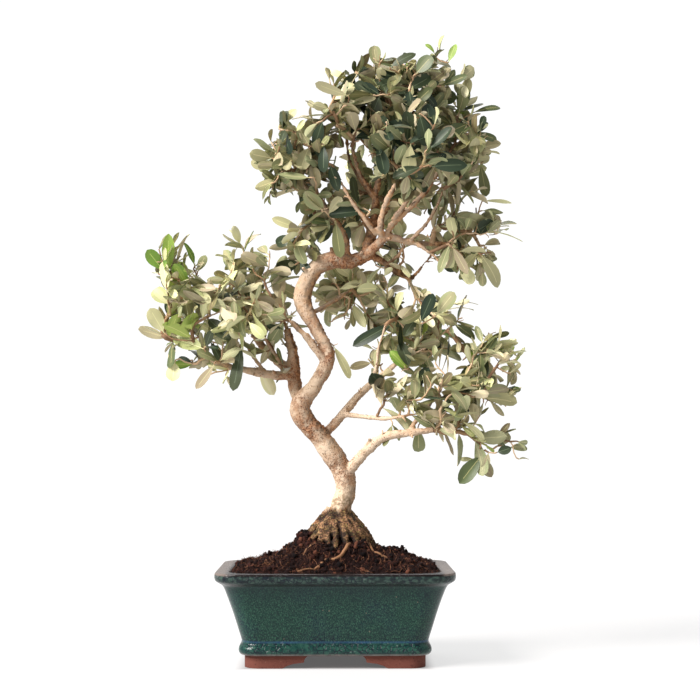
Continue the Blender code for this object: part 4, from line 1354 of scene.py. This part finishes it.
class Foliage:
    """All leaves of one region, gathered in one heap."""

    def __init__(self, first):
        self.heap = Heap()
        self.first = first
        self.faces = []
        self.kinds = []
        rows, columns = len(LEAF_ROWS), len(LEAF_COLUMNS)
        inner = columns - 2
        middle = columns // 2 - 1

        def top(r, c):
            return r * columns + c

        def low(r, c):
            return top(r, c) if c in (0, columns - 1) else rows * columns + r * inner + c - 1

        for r in range(rows - 1):
            for c in range(columns - 1):
                part = "outer" if c in (0, columns - 2) else "inner"
                if r == 0 or (c == middle and r < rows - 3):
                    part = "rib"
                self.faces.append((top(r, c), top(r, c + 1), top(r + 1, c + 1), top(r + 1, c)))
                self.faces.append((low(r + 1, c), low(r + 1, c + 1), low(r, c + 1), low(r, c)))
                self.kinds += [(part, "upper"), (part, "under")]
        for r in (0, rows - 1):
            for c in range(columns - 1):
                rim = (top(r, c + 1), top(r, c), low(r, c), low(r, c + 1))
                rim = rim if r == 0 else rim[::-1]
                self.faces.append(tuple(dict.fromkeys(rim)))
                self.kinds.append(("rib", "under"))

    def add(self, place, along, normal, length, width, tone, rng):
        """One leaf: it leaves place heading along, its upper side facing normal."""
        along = Vector(along).normalized()
        normal = np.array((normal - along * normal.dot(along)).normalized())
        along = np.array(along)
        side = np.cross(along, normal)
        fold, wave = rng.uniform(-0.05, 0.32), rng.uniform(0, 0.12)
        curl, droop = rng.uniform(-0.75, 0.3), rng.uniform(-0.25, 0.15)
        roll, phase = rng.gauss(0, 0.25), rng.uniform(0, 6)
        t = LEAF_ROWS
        pitch = curl * t * t + droop * t
        steps = np.diff(t, prepend=0) * length
        ahead = np.cumsum(steps * np.cos(pitch))
        rise = np.cumsum(steps * np.sin(pitch))
        base = np.array(place) + np.outer(ahead, along) + np.outer(rise, normal)
        face_up = np.outer(np.cos(pitch), normal) - np.outer(np.sin(pitch), along)
        across = side * np.cos(roll * t)[:, None] + face_up * np.sin(roll * t)[:, None]
        face_up = face_up * np.cos(roll * t)[:, None] - side * np.sin(roll * t)[:, None]
        half = width / 2 * leaf_outline(t, rng.uniform(0.6, 0.9), rng.uniform(0.42, 0.68))
        half = np.maximum(half, PETIOLE_HALF)
        columns = LEAF_COLUMNS
        rib = np.abs(columns) < RIB_COLUMN
        out = np.where(rib, RIB_HALF * np.sign(columns), half[:, None] * columns)
        out[-1] *= 0.7
        lift = fold * np.abs(columns) ** 1.4 * half[:, None]
        ripple = np.sin(9 * t[:, None] + phase + 2 * np.sign(columns))
        lift = lift + wave * half[:, None] * columns**2 * ripple
        upper = base[:, None] + across[:, None] * out[:, :, None] + face_up[:, None] * lift[:, :, None]
        thick = np.minimum(np.where(rib, 1.6, 1.0) * LEAF_THICKNESS, half[:, None])
        under = upper[:, 1:-1] - face_up[:, None] * thick[:, 1:-1, None]
        points = np.concatenate([upper.reshape(-1, 3), under.reshape(-1, 3)])
        numbers = {}
        for kind, tones in (("upper", UPPER), ("under", UNDER)):
            variants = len(tones[tone])
            variant = rng.randrange(variants)
            numbers["outer", kind] = self.first[kind, tone] + variant
            numbers["inner", kind] = self.first[kind, tone] + min(variants - 1, variant + rng.randrange(2))
            numbers["rib", kind] = self.first["rib", tone] + (kind == "under")
        self.heap.add(points, self.faces, [numbers[kind] for kind in self.kinds])


def leaf_materials():
    """All leaf materials in order, and the number of each tone's first."""
    materials = []
    first = {}
    for kind, tones, roughness, specular in (("upper", UPPER, 0.42, 0.32), ("under", UNDER, 0.7, 0.2)):
        for name, variants in tones.items():
            first[kind, name] = len(materials)
            materials += plain_row(f"leaf_{kind}_{name}", variants, roughness, specular)
    for name, (upper, under) in RIB.items():
        first["rib", name] = len(materials)
        materials.append(plain(f"leaf_rib_upper_{name}", upper, 0.55))
        materials.append(plain(f"leaf_rib_under_{name}", under, 0.7))
    return materials, first


def add_single(foliage, shoot, rng):
    """A narrow leaf is seen from its edge, a broad one faces the front."""
    way, width, tone = shoot.leaf
    facing = UP if width < SINGLE_LEAST else Vector((0, -1, 0.35))
    facing = facing + jitter(rng, 0.15)
    foliage.add(shoot.tip, way, facing, way.length, max(width, SINGLE_LEAST), tone, rng)


def turned(way, angle, axis):
    """A direction turned about an axis."""
    way = way.copy()
    way.rotate(Matrix.Rotation(angle, 3, axis))
    return way


def pair_spots(places, gap, bearing, rng):
    """Where along the end of a twig its pairs of leaves sit, from the tip down, and its heading there."""
    spots = []
    walked = 0.0
    goal = 0.0
    for near, far in zip(reversed(places[1:]), reversed(places[:-1])):
        span = (near - far).length
        while goal <= walked + span and goal <= bearing:
            spots.append((near.lerp(far, (goal - walked) / span), (near - far).normalized()))
            goal += gap * rng.uniform(0.8, 1.2)
        walked += span
    return spots


def add_spray(foliage, shoot, skeleton, rng):
    """Opposite pairs of leaves down the end of a twig, each pair turned a quarter from the last."""
    places = [skeleton.places[i] for i in shoot.chain]
    total = sum((b - a).length for a, b in zip(places, places[1:]))
    bearing = min(total * 0.9, rng.uniform(*SPRAY_BEARING))
    crown = "crown" in shoot.mass
    gap = rng.uniform(*PAIR_GAP)
    size = rng.uniform(*SPRAY_SIZES) * (CROWN_LEAF_SIZE if crown else 1.0)
    azimuth = rng.uniform(0, math.pi)
    names = list(UPPER)
    shares = TONE_SHARES.get(shoot.mass, TONE_SHARES["default"])
    tone = rng.choices(names, shares)[0]
    for number, (place, heading) in enumerate(pair_spots(places, gap, bearing, rng)):
        azimuth += math.pi / 2 + rng.gauss(0, 0.25)
        side = turned(heading.orthogonal().normalized(), azimuth, heading)
        sunward = Vector((place.x - CROWN_MIDDLE, place.y, 0)).normalized() * 0.4 + UP * 0.5
        for turn in (0, math.pi):
            if number > 1 and rng.random() < PAIR_SKIP:
                continue
            young = rng.uniform(*YOUNG_LEAF) if number == 0 else 1.0
            length = rng.uniform(*LEAF_LENGTH) * size * young
            for draw in range(LEAF_DRAWS):
                outward = turned(side, turn + rng.gauss(0, 0.2 + 0.35 * draw), heading)
                spread = math.radians(rng.uniform(12, 40) if number == 0 else rng.uniform(35, 85))
                along = heading * math.cos(spread) + outward * math.sin(spread)
                along = (along + Vector((0, 0, rng.uniform(-0.35, 0.2)))).normalized()
                if leaf_fits(shoot.masses, place, along, length):
                    break
                length *= 0.95
            else:
                if rng.random() < LEAF_DROP:
                    continue
            normal = heading * math.sin(spread) - outward * math.cos(spread)
            normal = normal * 0.6 + sunward + jitter(rng, 0.65)
            width = length * rng.uniform(*(CROWN_LEAF_WIDTH if crown else LEAF_WIDTH))
            own = tone if rng.random() < 0.35 else rng.choices(names, shares)[0]
            foliage.add(place, along, normal, length, width, own, rng)


def add_spurs(heap, skeleton, rng):
    """Short leafless side shoots on limbs and twigs."""
    for _ in range(SPURS):
        index = rng.randrange(len(skeleton.places))
        place, heading = skeleton.places[index], skeleton.headings[index]
        side = turned(heading.orthogonal().normalized(), rng.uniform(0, 6.3), heading)
        way = (side + heading * rng.uniform(0, 0.8) + UP * 0.2).normalized()
        thick = min(skeleton.limits[index], max(skeleton.radius(index), 0.6))
        length = thick * 0.8 + rng.uniform(2, 9)
        bend = jitter(rng, 0.12) * length
        path = [place, place + way * length * 0.55 + bend, place + way * length]
        slim = min(0.75, thick * 0.6)
        heap.add_tube(path, (slim * 1.3, slim, slim * 0.75), 5, dealt(rng, SPUR_SHARES))


def make_twigs(skeleton, rng):
    twigs = Heap()
    for chain in skeleton.chains:
        radii = [skeleton.radius(i) for i in chain]
        radii[0] = radii[1]
        tone = dealt(rng, TWIG_SHARES[radii[0] >= THIN_TWIG])
        twigs.add_tube([skeleton.places[i] for i in chain], radii, TWIG_SIDES, tone)
    add_spurs(twigs, skeleton, rng)
    piece("twigs", twigs.mesh("twigs"), plain_row("twig", TWIG_TONES, 0.75, 0.3))


def make_crown(rng):
    """Twigs that grow from the limbs to the tips of all sprays, and the leaves on them."""
    masses = [Mass(name) for name in MASSES]
    skeleton = Skeleton()
    for knots in BOUGHS.values():
        skeleton.add_limb(knots, BOUGH_START)
    for knots in (*SIDE_LIMBS, TRUNK[-3:]):
        skeleton.add_limb(knots, LIMB_START)
    shoots = spray_shoots(masses, rng) + loose_shoots(rng) + single_shoots()
    shoots.sort(key=lambda shoot: skeleton.nearest(shoot.tip)[1])
    for shoot in shoots:
        shoot.chain = skeleton.grow(shoot.tip, shoot.ending, rng)
    skeleton.load()
    make_twigs(skeleton, rng)
    materials, first = leaf_materials()
    for region, members in REGIONS.items():
        foliage = Foliage(first)
        for shoot in shoots:
            if shoot.mass in members and shoot.leaf:
                add_single(foliage, shoot, rng)
            elif shoot.mass in members:
                add_spray(foliage, shoot, skeleton, rng)
        mesh = foliage.heap.mesh(region)
        smooth_but_edges(mesh, LEAF_EDGE_ANGLE)
        piece(region, mesh, materials, members)


make_studio()
make_floor()
clay = clay_material()
make_pot(glaze_material(), clay)
make_feet(clay)
make_soil(soil_material())
peat_rng = random.Random(3)
make_crumbs(peat_rng)
make_fibres(peat_rng)
make_bark(bark_material(), random.Random(5))
make_surface_roots(root_material())
make_crown(random.Random(11))
